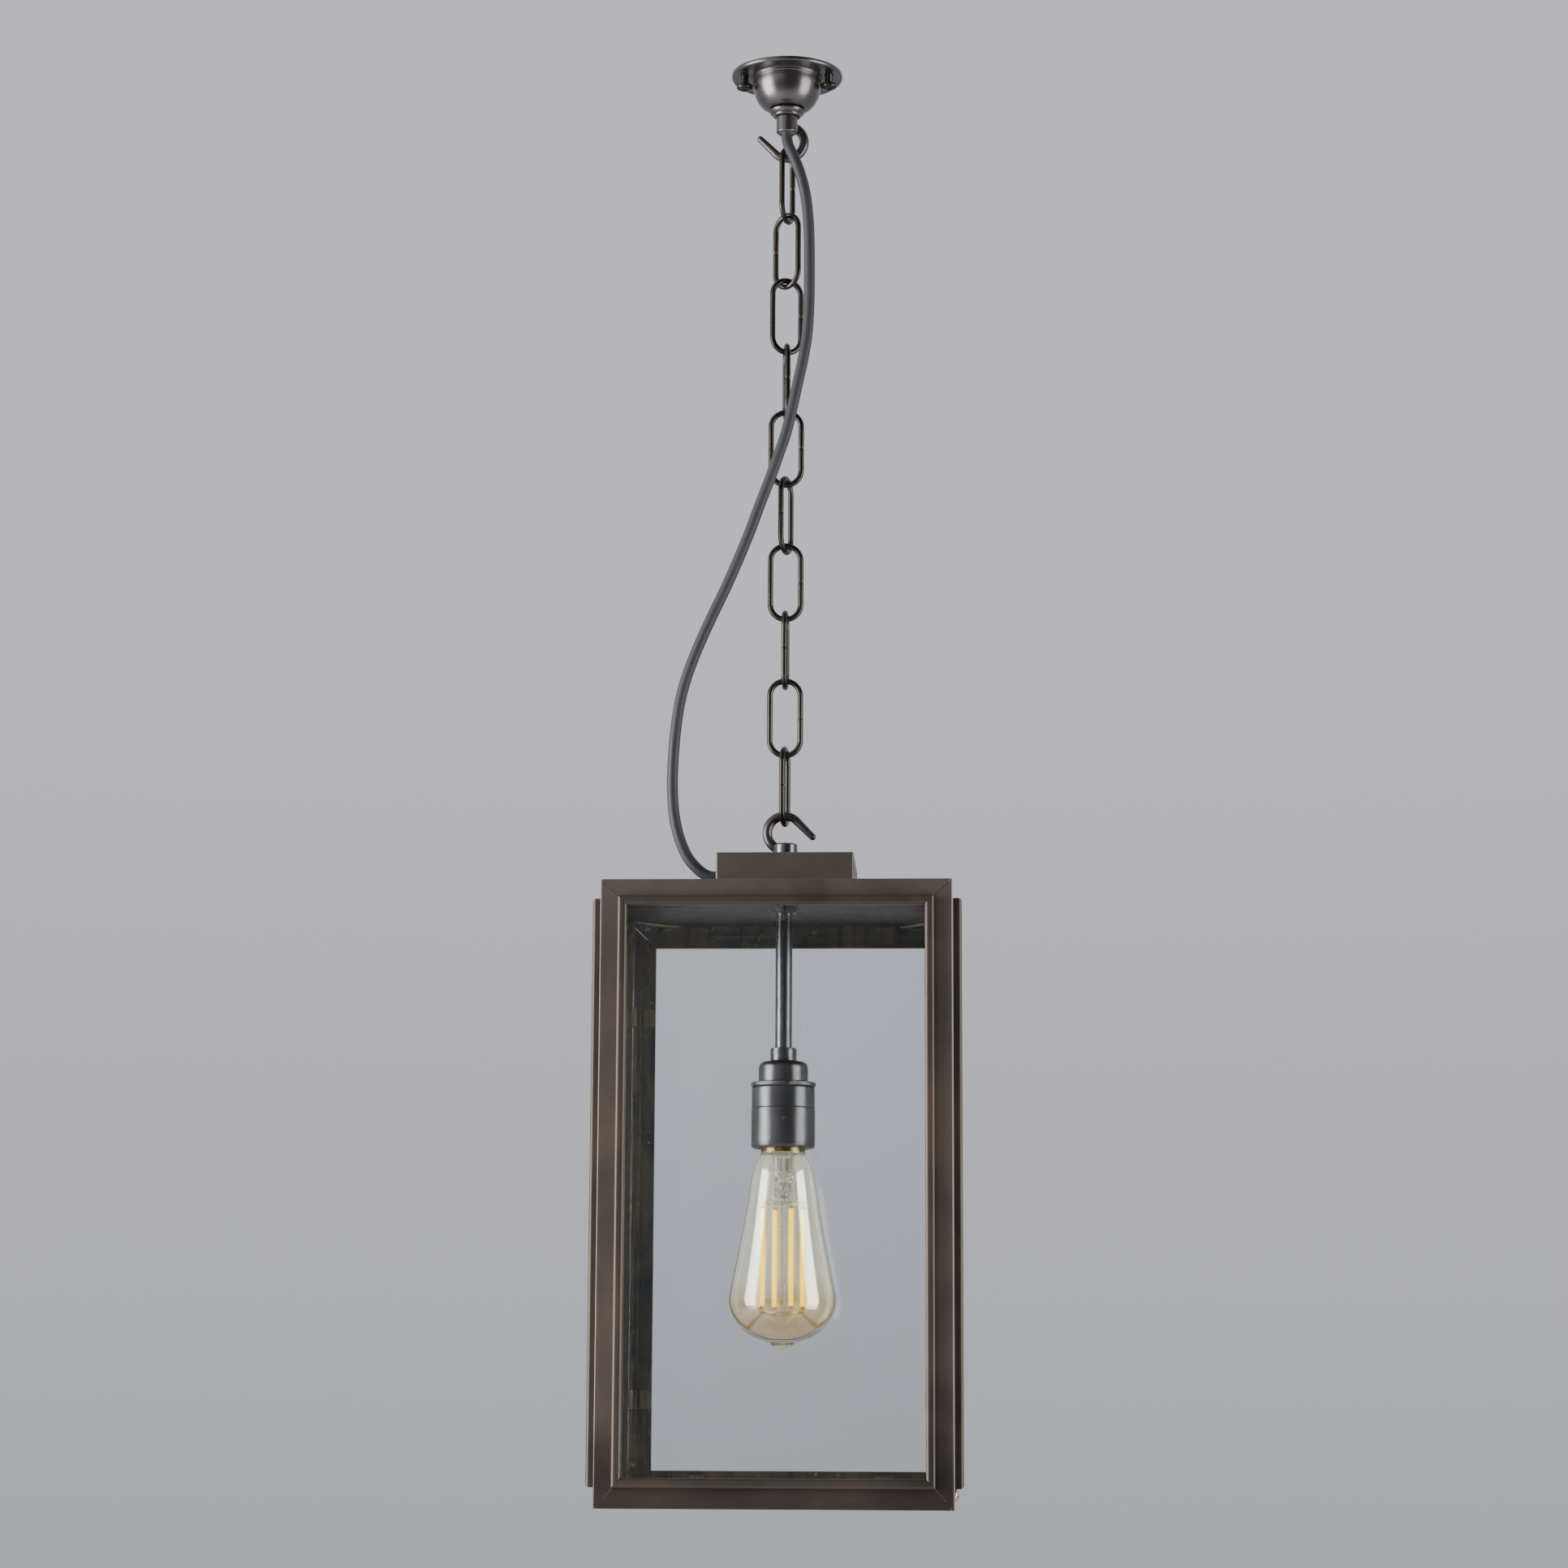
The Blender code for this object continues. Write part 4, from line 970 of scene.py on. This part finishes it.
def bead_strip(start, end, inward, crown_h):
    """One mitred length of half-round glazing bead. start and end are its outer corners, in XZ."""
    start, end, inward = Vector(start), Vector(end), Vector(inward)
    along = (end - start).normalized()
    width, shoulder_r, open_mitre, steps = 0.0055, 0.0020, 0.00006, 24
    section = [
        (0.0, 0.0), *arc((shoulder_r, crown_h - shoulder_r), shoulder_r, 180, 92, 8),
        *arc((width - shoulder_r, crown_h - shoulder_r), shoulder_r, 88, 0, 8), (width, 0.0),
    ]
    work = bmesh.new()
    ends = []
    for at, sign in ((start, 1), (end, -1)):
        ring = []
        for across, proud in section:
            spot = at + inward * across + along * sign * (across + open_mitre)
            ring.append(work.verts.new((spot.x, -HALF_BOX - GAP - proud, spot.y)))
        ends.append(ring)
    pairs = list(zip(*ends))
    between = [[work.verts.new(a.co.lerp(b.co, k / steps)) for a, b in pairs] for k in range(1, steps)]
    return skinned(work, [ends[0], *between, ends[1]])


def faces_in(face):
    """Whether a face of the box looks towards the lantern's middle."""
    from_middle = face.center.xy - LOAD.xy
    return face.normal.xy.dot(from_middle.normalized()) <= 0.1 and abs(face.normal.z) <= 0.6


def add_frame():
    low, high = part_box("glazing_bead_front")
    left, right, bead_h = low.x - LOAD.x, high.x - LOAD.x, high.y - low.y
    strips = {
        "top": ((left, high.z), (right, high.z), (0, -1)),
        "right": ((right, high.z), (right, low.z), (-1, 0)),
        "bottom": ((right, low.z), (left, low.z), (0, 1)),
        "left": ((left, low.z), (left, high.z), (1, 0)),
    }
    for quarter, (side, corner) in enumerate(zip(SIDES, CORNERS)):
        for name, work, node in (
            (f"angle_{corner}", post_work(), f"corner_post_{corner}"),
            (f"flat_top_{side}", rail_work(FLAT_TOP, BOX_TOP, -1), f"top_rail_{side}"),
            (f"flat_bottom_{side}", rail_work(FLAT_BOTTOM, BOX_BOTTOM, 1), f"bottom_rail_{side}"),
        ):
            strip = add_piece(name, turn_about_load(work, quarter), "lantern", [FRAME_BRASS, INSIDE], node)
            second_finish(strip, faces_in)
        for name, corners in strips.items():
            work = turn_about_load(bead_strip(*corners, bead_h), quarter)
            add_piece(f"bead_{side}_{name}", work, "lantern", BEAD_BRASS, f"glazing_bead_{side}")


def add_panes():
    """Float glass with ground edges."""
    low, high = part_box("glass_pane_front")
    half, near = (high.x - low.x) / 2, -HALF_BOX + SHEET + GAP
    for quarter, side in enumerate(SIDES):
        work = turn_about_load(slab((-half, near, low.z), (half, near + PANE_T, high.z), 0.0004), quarter)
        add_piece(f"pane_{side}", work, "lantern", PANE_GLASS, f"glass_pane_{side}")


def add_tabs():
    """Bent brass tabs soldered to the frame's inside, over the edges of the panes."""
    inner, thick, soft = -HALF_BOX + SHEET + GAP + PANE_T + 0.0001, 0.0008, 0.00025
    behind = inner - 0.0002
    for quarter, side in enumerate(SIDES):
        work = bmesh.new()
        across, tall = 0.0055, 0.0050
        for x in (-0.058, 0.058):
            for z, up in ((BOX_TOP - 0.0085, 1), (BOX_BOTTOM + 0.0095, -1)):
                slab((x - across, inner, z - tall), (x + across, inner + thick, z + tall), soft, work)
                low, high = sorted((z + up * tall, z + up * (tall - thick)))
                slab((x - across, behind, low), (x + across, inner + 0.0034, high), soft, work)
        across, tall = 0.0035, 0.0055
        for z in (BOX_TOP - 0.060, BOX_BOTTOM + 0.060):
            for sign in (-1, 1):
                x = sign * 0.0885
                slab((x - across, inner, z - tall), (x + across, inner + thick, z + tall), soft, work)
                near, far = x + sign * across * 0.4, x + sign * (across + thick * 0.4)
                slab((near, behind, z - tall), (far, inner + 0.0030, z + tall), soft, work)
        add_piece(f"pane_tabs_{side}", turn_about_load(work, quarter), "lantern", INSIDE)


def add_roof():
    low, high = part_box("roof_plate")
    work = slab(low, high, 0.0003)
    roof = add_piece("roof_sheet", work, "lantern", [FRAME_BRASS, ROOF_UNDERSIDE_SHADED], "roof_plate")
    cut_by(roof, [on_load(closed_on_axis([(0.0053, high.z + 0.003), (0.0053, low.z - 0.003)]), 48)])
    second_finish(roof, lambda face: face.normal.z < -0.5)
    sharpened(roof)

    leg, thick = 0.028, 0.0016
    reach, top = HALF_BOX - SHEET - PANE_T - 3 * GAP, low.z - GAP
    points = ((reach, -reach, top), (reach, leg - reach, top), (reach - leg, -reach, top))
    for quarter, corner in enumerate(CORNERS):
        work = turn_about_load(extruded(points, (0, 0, -thick), 0.0003), quarter)
        add_piece(f"gusset_{corner}", work, "lantern", INSIDE, f"roof_gusset_{corner}")


def add_solder():
    """Solder at the inside corners and along the gussets."""
    inner, under = HALF_BOX - SHEET, BOX_TOP - SHEET
    lumps = (  # distances from the corner, height, size
        (0.0022, 0.0022, BOX_BOTTOM + 0.0030, (0.0030, 0.0030, 0.0028)),
        (0.0016, 0.0016, BOX_BOTTOM + 0.0085, (0.0022, 0.0022, 0.0050)),
        (0.0060, 0.0012, BOX_BOTTOM + 0.0020, (0.0050, 0.0014, 0.0018)),
        (0.0085, 0.0085, under - 0.0030, (0.0034, 0.0034, 0.0013)),
        (0.0200, 0.0062, under - 0.0026, (0.0042, 0.0016, 0.0012)),
        (0.0062, 0.0200, under - 0.0026, (0.0016, 0.0042, 0.0012)),
    )
    for quarter, corner in enumerate(CORNERS):
        work = bmesh.new()
        for number, (from_right, from_front, z, size) in enumerate(lumps):
            fillet_blob((inner - from_right, -inner + from_front, z), size, quarter * 7 + number, work)
        add_piece(f"solder_{corner}", turn_about_load(work, quarter), "lantern", SOLDER)


def add_pane_screw():
    low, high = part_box("pane_screw")
    centre = middle("pane_screw")
    radius, proud = (high.z - low.z) / 2, high.x - low.x
    angles = [radians(6 * k) for k in range(1, 15)]
    dome = [(radius * cos(a), proud * sin(a) ** 0.9) for a in angles]
    work = turned([(0, 0), (radius, 0), *dome, (0, proud)], 64)
    aim = facing_x((low.x, centre.y, centre.z))
    screw = add_piece("dome_screw", placed(work, aim), "lantern", BRASS, "pane_screw")
    slot = slab((-0.0050, -0.00045, -0.0009), (0.0050, 0.00045, 0.0009), 0.0001)
    stand = facing_x((high.x, centre.y, centre.z), 20) @ Matrix.Rotation(pi / 2, 4, "Z")
    cut_by(screw, [placed(slot, stand)])


# ---------------------------------------------------------------- rod, lampholder and bulb

HOLDER_TOP, RING_TOP, BODY_TOP = (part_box(f"holder_{part}")[1].z for part in ("cap", "ring", "body"))
SKIRT_END, SKIRT_TOP = (corner.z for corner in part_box("holder_skirt"))


def add_rod():
    low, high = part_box("rod")
    radius, bore = 0.0050, 0.0034
    thread_end = BOX_TOP - SHEET - 0.010
    outer = column(radius, high.z, thread_end, 90)
    outer += [(radius, thread_end - 0.0005), (radius, low.z + 0.0005), (radius, low.z)]
    thread = threaded(0.00022, 0.0010, lambda r, z: r > 0.0045 and z > thread_end)
    work = on_load(bored(outer, bore, high.z, low.z), 64, thread)
    add_piece("stem_rod", work, "lantern", ROD_METAL, "rod")

    low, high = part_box("rod_nut")
    nut_r, bore, edge = 0.0085, 0.0053, 0.0006
    sixth = pi / 3

    def hexagon(a, r, z):
        flat = nut_r * cos(sixth / 2) / cos((a + sixth / 2) % sixth - sixth / 2)
        return min(flat, nut_r * 0.985) - (nut_r - r) if r > 0.006 else r

    outline = [
        (nut_r - 0.0008, high.z), (nut_r, high.z - edge), (nut_r, low.z + edge), (nut_r - 0.0008, low.z),
        (bore + 0.0004, low.z), (bore, low.z + edge), (bore, high.z - edge), (bore + 0.0004, high.z),
    ]
    add_piece("lock_nut", on_load(outline, 72, hexagon), "lantern", GUNMETAL, "rod_nut")


def add_holder_part(name, outline, node, segments=96, ripple=None, finishes=GUNMETAL):
    return add_piece(name, on_load(outline, segments, ripple), "lantern", finishes, node)


def add_lampholder():
    bore, neck, dome, shoulder_r, dome_top = 0.0053, 0.0078, 0.0147, 0.0038, -0.6150
    rod_end, wall_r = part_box("rod")[0].z, dome - 0.0015
    outline = [
        (bore, HOLDER_TOP), (neck - 0.0004, HOLDER_TOP), (neck, HOLDER_TOP - 0.0004),
        (neck, dome_top + 0.0006), (neck + 0.0004, dome_top + 0.0001),
        *arc((dome - shoulder_r, dome_top - shoulder_r), shoulder_r, 86, 0, 14), (dome, RING_TOP + GAP),
        (wall_r, RING_TOP + GAP), (wall_r, RING_TOP + 0.0040), (neck, rod_end - 0.0035),
        (bore, rod_end - 0.0030),
    ]
    add_holder_part("lampholder_cap", outline, "holder_cap")

    teeth, ring_r, low = 100, 0.0193, BODY_TOP + 0.0001

    def knurl(a, r, z):
        return r - 0.00013 * (0.5 + 0.5 * cos(teeth * a)) ** 0.8 if r > 0.0190 else r

    outer = [
        (0.0178, RING_TOP), (0.0187, RING_TOP - 0.0001), (ring_r, RING_TOP - 0.0006),
        (ring_r, low + 0.0006), (0.0187, low),
    ]
    add_holder_part("knurled_ring", bored(outer, 0.012, RING_TOP, low), "holder_ring", teeth * 6, knurl)

    low = SKIRT_TOP + 0.0001
    outer = [
        *rises(BODY_TOP, (0.0178, 0), (0.0186, -0.0005), (0.0188, -0.0012)),
        *rises(low, (0.0188, 0.0004), (0.0187, 0.0001), (0.0184, 0)),
    ]
    add_holder_part("lampholder_body", bored(outer, 0.0162, BODY_TOP, low), "holder_body")

    def socket_thread(a, r, z):
        return r + 0.0004 * sin(a - 2 * pi * z / E27_PITCH) if r < 0.0150 else r

    outline = [
        *rises(SKIRT_TOP, (0.0182, 0), (0.0187, -0.0002), (0.0190, -0.0009)),
        *rises(SKIRT_END, (0.0190, 0.0034), (0.0188, 0.0028), (0.0190, 0.0022), (0.0189, 0.0012)),
        *rises(SKIRT_END, (0.0183, 0.0004), (0.0172, 0), (0.0158, 0.0006)),
        *column(0.0147, SKIRT_END + 0.0012, SKIRT_TOP - 0.0012, 40), (0.0150, SKIRT_TOP),
    ]
    skirt = add_holder_part(
        "lampholder_skirt", outline, "holder_skirt", ripple=socket_thread, finishes=[GUNMETAL, BRASS]
    )
    second_finish(skirt, lambda face: (face.center.xy - LOAD.xy).length < 0.0154)
    dimple_at = from_load(0.0014, -0.0200, SKIRT_TOP - 0.0072)
    cut_by(skirt, [fillet_blob(dimple_at, (0.0019, 0.0019, 0.0019), 0, detail=4)])

    low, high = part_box("holder_insert")
    r = (high.x - low.x) / 2
    outline = closed_on_axis([(r, high.z), *rises(low.z, (r, 0.0030), (r - 0.0020, 0.0024), (r - 0.0024, 0))])
    add_holder_part("holder_ceramic", rounded(outline, 0.0005), "holder_insert", finishes=CERAMIC)


E27_PITCH = 0.0036
BASE_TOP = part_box("bulb_base")[1].z
GLASS_TIP, GLASS_TOP = (corner.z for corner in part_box("bulb_glass"))
STEM_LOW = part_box("bulb_stem")[0].z
STEM_TOP = GLASS_TOP - GAP
TUBE_END = STEM_TOP - 0.0140  # where the stem's round tube ends and its pinch begins
# The bulb's outline: radius, and height below the top of its neck
BULB_OUTLINE = (
    (0.0136, 0.0000), (0.0152, 0.0020), (0.0173, 0.0060), (0.0193, 0.0139), (0.0218, 0.0298),
    (0.0246, 0.0457), (0.0277, 0.0615), (0.0308, 0.0774), (0.0320, 0.0850), (0.0317, 0.0898),
    (0.0300, 0.0950), (0.0272, 0.0997), (0.0236, 0.1037), (0.0192, 0.1070), (0.0146, 0.1092),
    (0.0108, 0.1104), (0.0084, 0.1112), (0.0067, 0.1125), (0.0048, 0.1139), (0.0026, 0.1150),
    (0.0010, 0.1155),
)


def smooth_outline(outline, step):
    return [(p.x, p.z) for p in through([(r, 0, z) for r, z in outline], step)]


def clamped(share):
    return max(0.0, min(1.0, share))


def add_bulb_base():
    shell_r, shell_top, shell_end = 0.01285, BASE_TOP - 0.0045, GLASS_TOP + GAP

    def thread(a, r, z):
        if r < 0.0125:
            return r
        if shell_end + 0.0034 < z < shell_top - 0.0006:
            return r + 0.00042 * sin(a + 2 * pi * z / E27_PITCH)
        return r + 0.0003

    shell = column(shell_r, shell_top, shell_end, 90)
    outline = [(0, shell_top + 0.0006), (0.0110, shell_top + 0.0004), *shell, (0, shell_end)]
    add_piece("bulb_screw_shell", on_load(outline, 96, thread), "bulb", LAMP_BRASS, "bulb_base")
    outline = closed_on_axis([(0.0108, shell_top + 0.0008), (0.0062, BASE_TOP - 0.0012)])
    add_piece("bulb_base_insulator", on_load(outline), "bulb", BLACK_PLASTIC)
    outline = closed_on_axis([(0.0045, BASE_TOP - 0.0013), (0.0043, BASE_TOP - 0.0004), (0.0026, BASE_TOP)])
    add_piece("bulb_contact", on_load(outline, 48), "bulb", SOLDER)


def add_bulb_glass():
    """Thin blown glass that thickens into the pip at its tip."""
    wall, tip_extra = 0.0007, 0.0007
    outer = [(r, GLASS_TOP + z) for r, z in smooth_outline([(r, -z) for r, z in BULB_OUTLINE], 0.0016)]
    inner = []
    for i, (r, z) in enumerate(outer[:-1]):
        if z < GLASS_TOP - 0.1130:
            break
        along = (Vector(outer[i + 1]) - Vector(outer[max(i - 1, 0)])).normalized()
        here = wall + tip_extra * clamped((GLASS_TOP - z - 0.104) / 0.009)
        inner.append((max(r + along.y * here, 0.0004), z - along.x * here))
    outline = [*outer, (0, GLASS_TIP), (0, inner[-1][1] - 0.0002), *reversed(inner)]
    add_piece("bulb_envelope", on_load(outline), "bulb", BULB_GLASS, "bulb_glass", sharp_deg=60)


def add_stem():
    """The bulb's inner stem: a flared tube, pinched and crumpled at its end, with six fused ribs."""
    outline = [
        *rises(STEM_TOP, (0.0078, 0), (0.0066, -0.0014), (0.0059, -0.0034)),
        *rises(TUBE_END, (0.0058, 0.0020), (0.0052, -0.0006), (0.0046, -0.0030)),
        *rises(STEM_LOW, (0.0044, 0.0050), (0.0047, 0.0026), (0.0040, 0.0007), (0.0015, 0), (0.0015, 0.0012)),
        *rises(TUBE_END, (0.0021, -0.0020), (0.0044, 0.0024), (0.0051, 0.0046)),
        *rises(STEM_TOP, (0.0052, -0.0034), (0.0060, -0.0012), (0.0070, 0)),
    ]

    def crumple(a, r, z):
        depth = clamped((TUBE_END - z) / 0.004)
        fold = noise.noise(Vector((4.0 * cos(a), 4.0 * sin(a), z * 520)))
        fold += 0.5 * noise.noise(Vector((9.0 * cos(a), 9.0 * sin(a), z * 1300)))
        ripples = 0.00030 * (1 - depth) * cos(7 * a)
        return r * (1 - 0.25 * depth * sin(a) ** 2) + ripples + 0.0016 * depth * fold

    work = on_load(smooth_outline(outline, 0.0006), 72, crumple)
    add_piece("bulb_glass_stem", work, "bulb", STEM_GLASS, "bulb_stem", sharp_deg=60)
    ribs = bmesh.new()
    for a in turn_angles(6, radians(12)):
        heights = (STEM_TOP - 0.0030, STEM_TOP - 0.0080, TUBE_END + 0.0030)
        swept([around_load(a, 0.0045, z) for z in heights], 0.00050, 10, work=ribs)
    add_piece("stem_ribs", ribs, "bulb", FROSTED_GLASS)


def add_filaments():
    """Four upright phosphor rods between two wire rings, hung on four wires from the stem."""
    low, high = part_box("filament_cage")
    head_z, foot_z = high.z - 0.0005, low.z + 0.0005
    rods, cage_r, arm_r = 4, 0.01285, 0.00026
    wires, ends, leads = bmesh.new(), bmesh.new(), bmesh.new()
    for z in (head_z, foot_z):
        swept([around_load(a, cage_r, z) for a in turn_angles(64)], 0.00030, 10, closed=True, work=wires)
    for number, a in enumerate(turn_angles(rods, radians(25)), 1):
        head, foot = around_load(a, cage_r, head_z), around_load(a, cage_r, foot_z)
        down = (foot - head).normalized()
        upper, lower = head + down * 0.0030, foot - down * 0.0030
        bar = [upper, upper.lerp(lower, 0.33), upper.lerp(lower, 0.66), lower]
        sleeve = swept(*rounded_ends(bar, 0.0017), 16)
        add_piece(f"filament_sleeve_{number}", sleeve, "bulb", SLEEVE, "filament_cage")
        core = swept([upper + down * 0.001, upper.lerp(lower, 0.5), lower - down * 0.001], 0.00105, 12)
        add_piece(f"filament_rod_{number}", core, "bulb", PHOSPHOR)
        for here, there in ((head, upper), (lower, foot)):
            swept([here, here.lerp(there, 0.5), there], 0.00028, 8, work=wires)
        for end, inward in ((upper, down), (lower, -down)):
            begin = end - inward * 0.0008
            swept([begin, begin + inward * 0.0012], 0.00176, 16, work=ends)
        bends = [*rises(STEM_LOW, (0.0016, 0.0016), (0.0050, 0.0004)), (0.0098, (STEM_LOW + head_z) / 2)]
        arm = [*(around_load(a, r, z) for r, z in bends), head]
        swept(through(arm, 0.0012), arm_r, 8, work=wires)
    for sign in (-1, 1):
        heights = (STEM_LOW + 0.0010, (STEM_LOW + foot_z) / 2, foot_z + 0.0020)
        swept([from_load(sign * 0.0011, 0, z) for z in heights], arm_r, 8, work=wires)
        route = (
            (0.0030, 0, GLASS_TOP - 0.0030), (0.0024, 0.0002, GLASS_TOP - 0.0120),
            (0.0018, 0, STEM_LOW + 0.0030), (0.0016, 0, STEM_LOW + 0.0006),
        )
        lead = through([from_load(sign * x, y, z) for x, y, z in route], 0.0012)
        swept(lead, 0.00022, 8, work=leads)
    add_piece("filament_wires", wires, "bulb", STEEL)
    add_piece("filament_ends", ends, "bulb", FILAMENT_END)
    add_piece("lead_wires", leads, "bulb", STEEL)


# ---------------------------------------------------------------- cable

CABLE_R = 0.0034
# The same route as the CAD cable's, from the collar down to the cap's left wall
CABLE_ROUTE = (
    (0.0000, 0.0000, -0.0380), (0.0001, -0.0001, -0.0411), (0.0011, -0.0012, -0.0460),
    (0.0042, -0.0033, -0.0535), (0.0086, -0.0048, -0.0655), (0.0121, -0.0056, -0.0805),
    (0.0140, -0.0060, -0.0997), (0.0145, -0.0062, -0.1217), (0.0144, -0.0066, -0.1490),
    (0.0132, -0.0074, -0.1700), (0.0106, -0.0080, -0.1867), (0.0077, -0.0085, -0.2005),
    (0.0047, -0.0089, -0.2150), (0.0009, -0.0090, -0.2315), (-0.0038, -0.0087, -0.2457),
    (-0.0087, -0.0083, -0.2598), (-0.0150, -0.0076, -0.2763), (-0.0226, -0.0067, -0.2969),
    (-0.0340, -0.0051, -0.3240), (-0.0460, -0.0036, -0.3495), (-0.0544, -0.0021, -0.3688),
    (-0.0609, -0.0007, -0.3873), (-0.0648, 0.0006, -0.4058), (-0.0671, 0.0022, -0.4283),
    (-0.0678, 0.0037, -0.4481), (-0.0667, 0.0051, -0.4652), (-0.0636, 0.0062, -0.4795),
    (-0.0585, 0.0070, -0.4913), (-0.0525, 0.0076, -0.4984), (-0.0488, 0.0079, -0.5013),
    (-0.0452, 0.0080, -0.5030), (-0.0418, 0.0080, -0.5035),
)


def cable_ring(work, points, i):
    """A ring of the whole cable, so that neighbouring lengths meet exactly."""
    along = (points[min(i + 1, len(points) - 1)] - points[max(i - 1, 0)]).normalized()
    across = along.cross(Vector((0, 1, 0))).normalized()
    return circle_at(work, points[i], CABLE_R, across, along.cross(across), 20)


def add_cable():
    """The flex in eleven lengths, end to end: one for each two neighbours of the chain."""
    points = through(CABLE_ROUTE, 0.0016)
    bodies = ["ceiling", *LINKS, "lantern"]
    pivots = [JOINTS[f"{body}_swing"]["pos_m"][2] for body in bodies[1:]]
    above_joint, below_joint, rigid = 0.010, 0.030, 0.003
    start = 0
    for number, (upper, lower) in enumerate(zip(bodies, bodies[1:])):
        end = len(points) - 1
        if lower != "lantern":
            end = next(i for i, p in enumerate(points) if p.z < pivots[number + 1] + above_joint)
        work = bmesh.new()
        skinned(work, [cable_ring(work, points, i) for i in range(start, end + 1)])
        piece = add_piece(f"flex_{number + 1:02d}", work, None, FLEX, "cable", sharp_deg=60)
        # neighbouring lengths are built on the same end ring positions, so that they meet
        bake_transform(piece)
        start = end


# ---------------------------------------------------------------- the whole

add_camera()
add_cable()
add_surroundings()
add_ceiling_plate()
add_washer_and_collar()
add_fixing_screws()
add_terminal_block()
add_top_hook()
add_chain()
add_hanger()
add_cap()
add_frame()
add_panes()
add_tabs()
add_roof()
add_solder()
add_pane_screw()
add_rod()
add_lampholder()
add_bulb_base()
add_bulb_glass()
add_stem()
add_filaments()
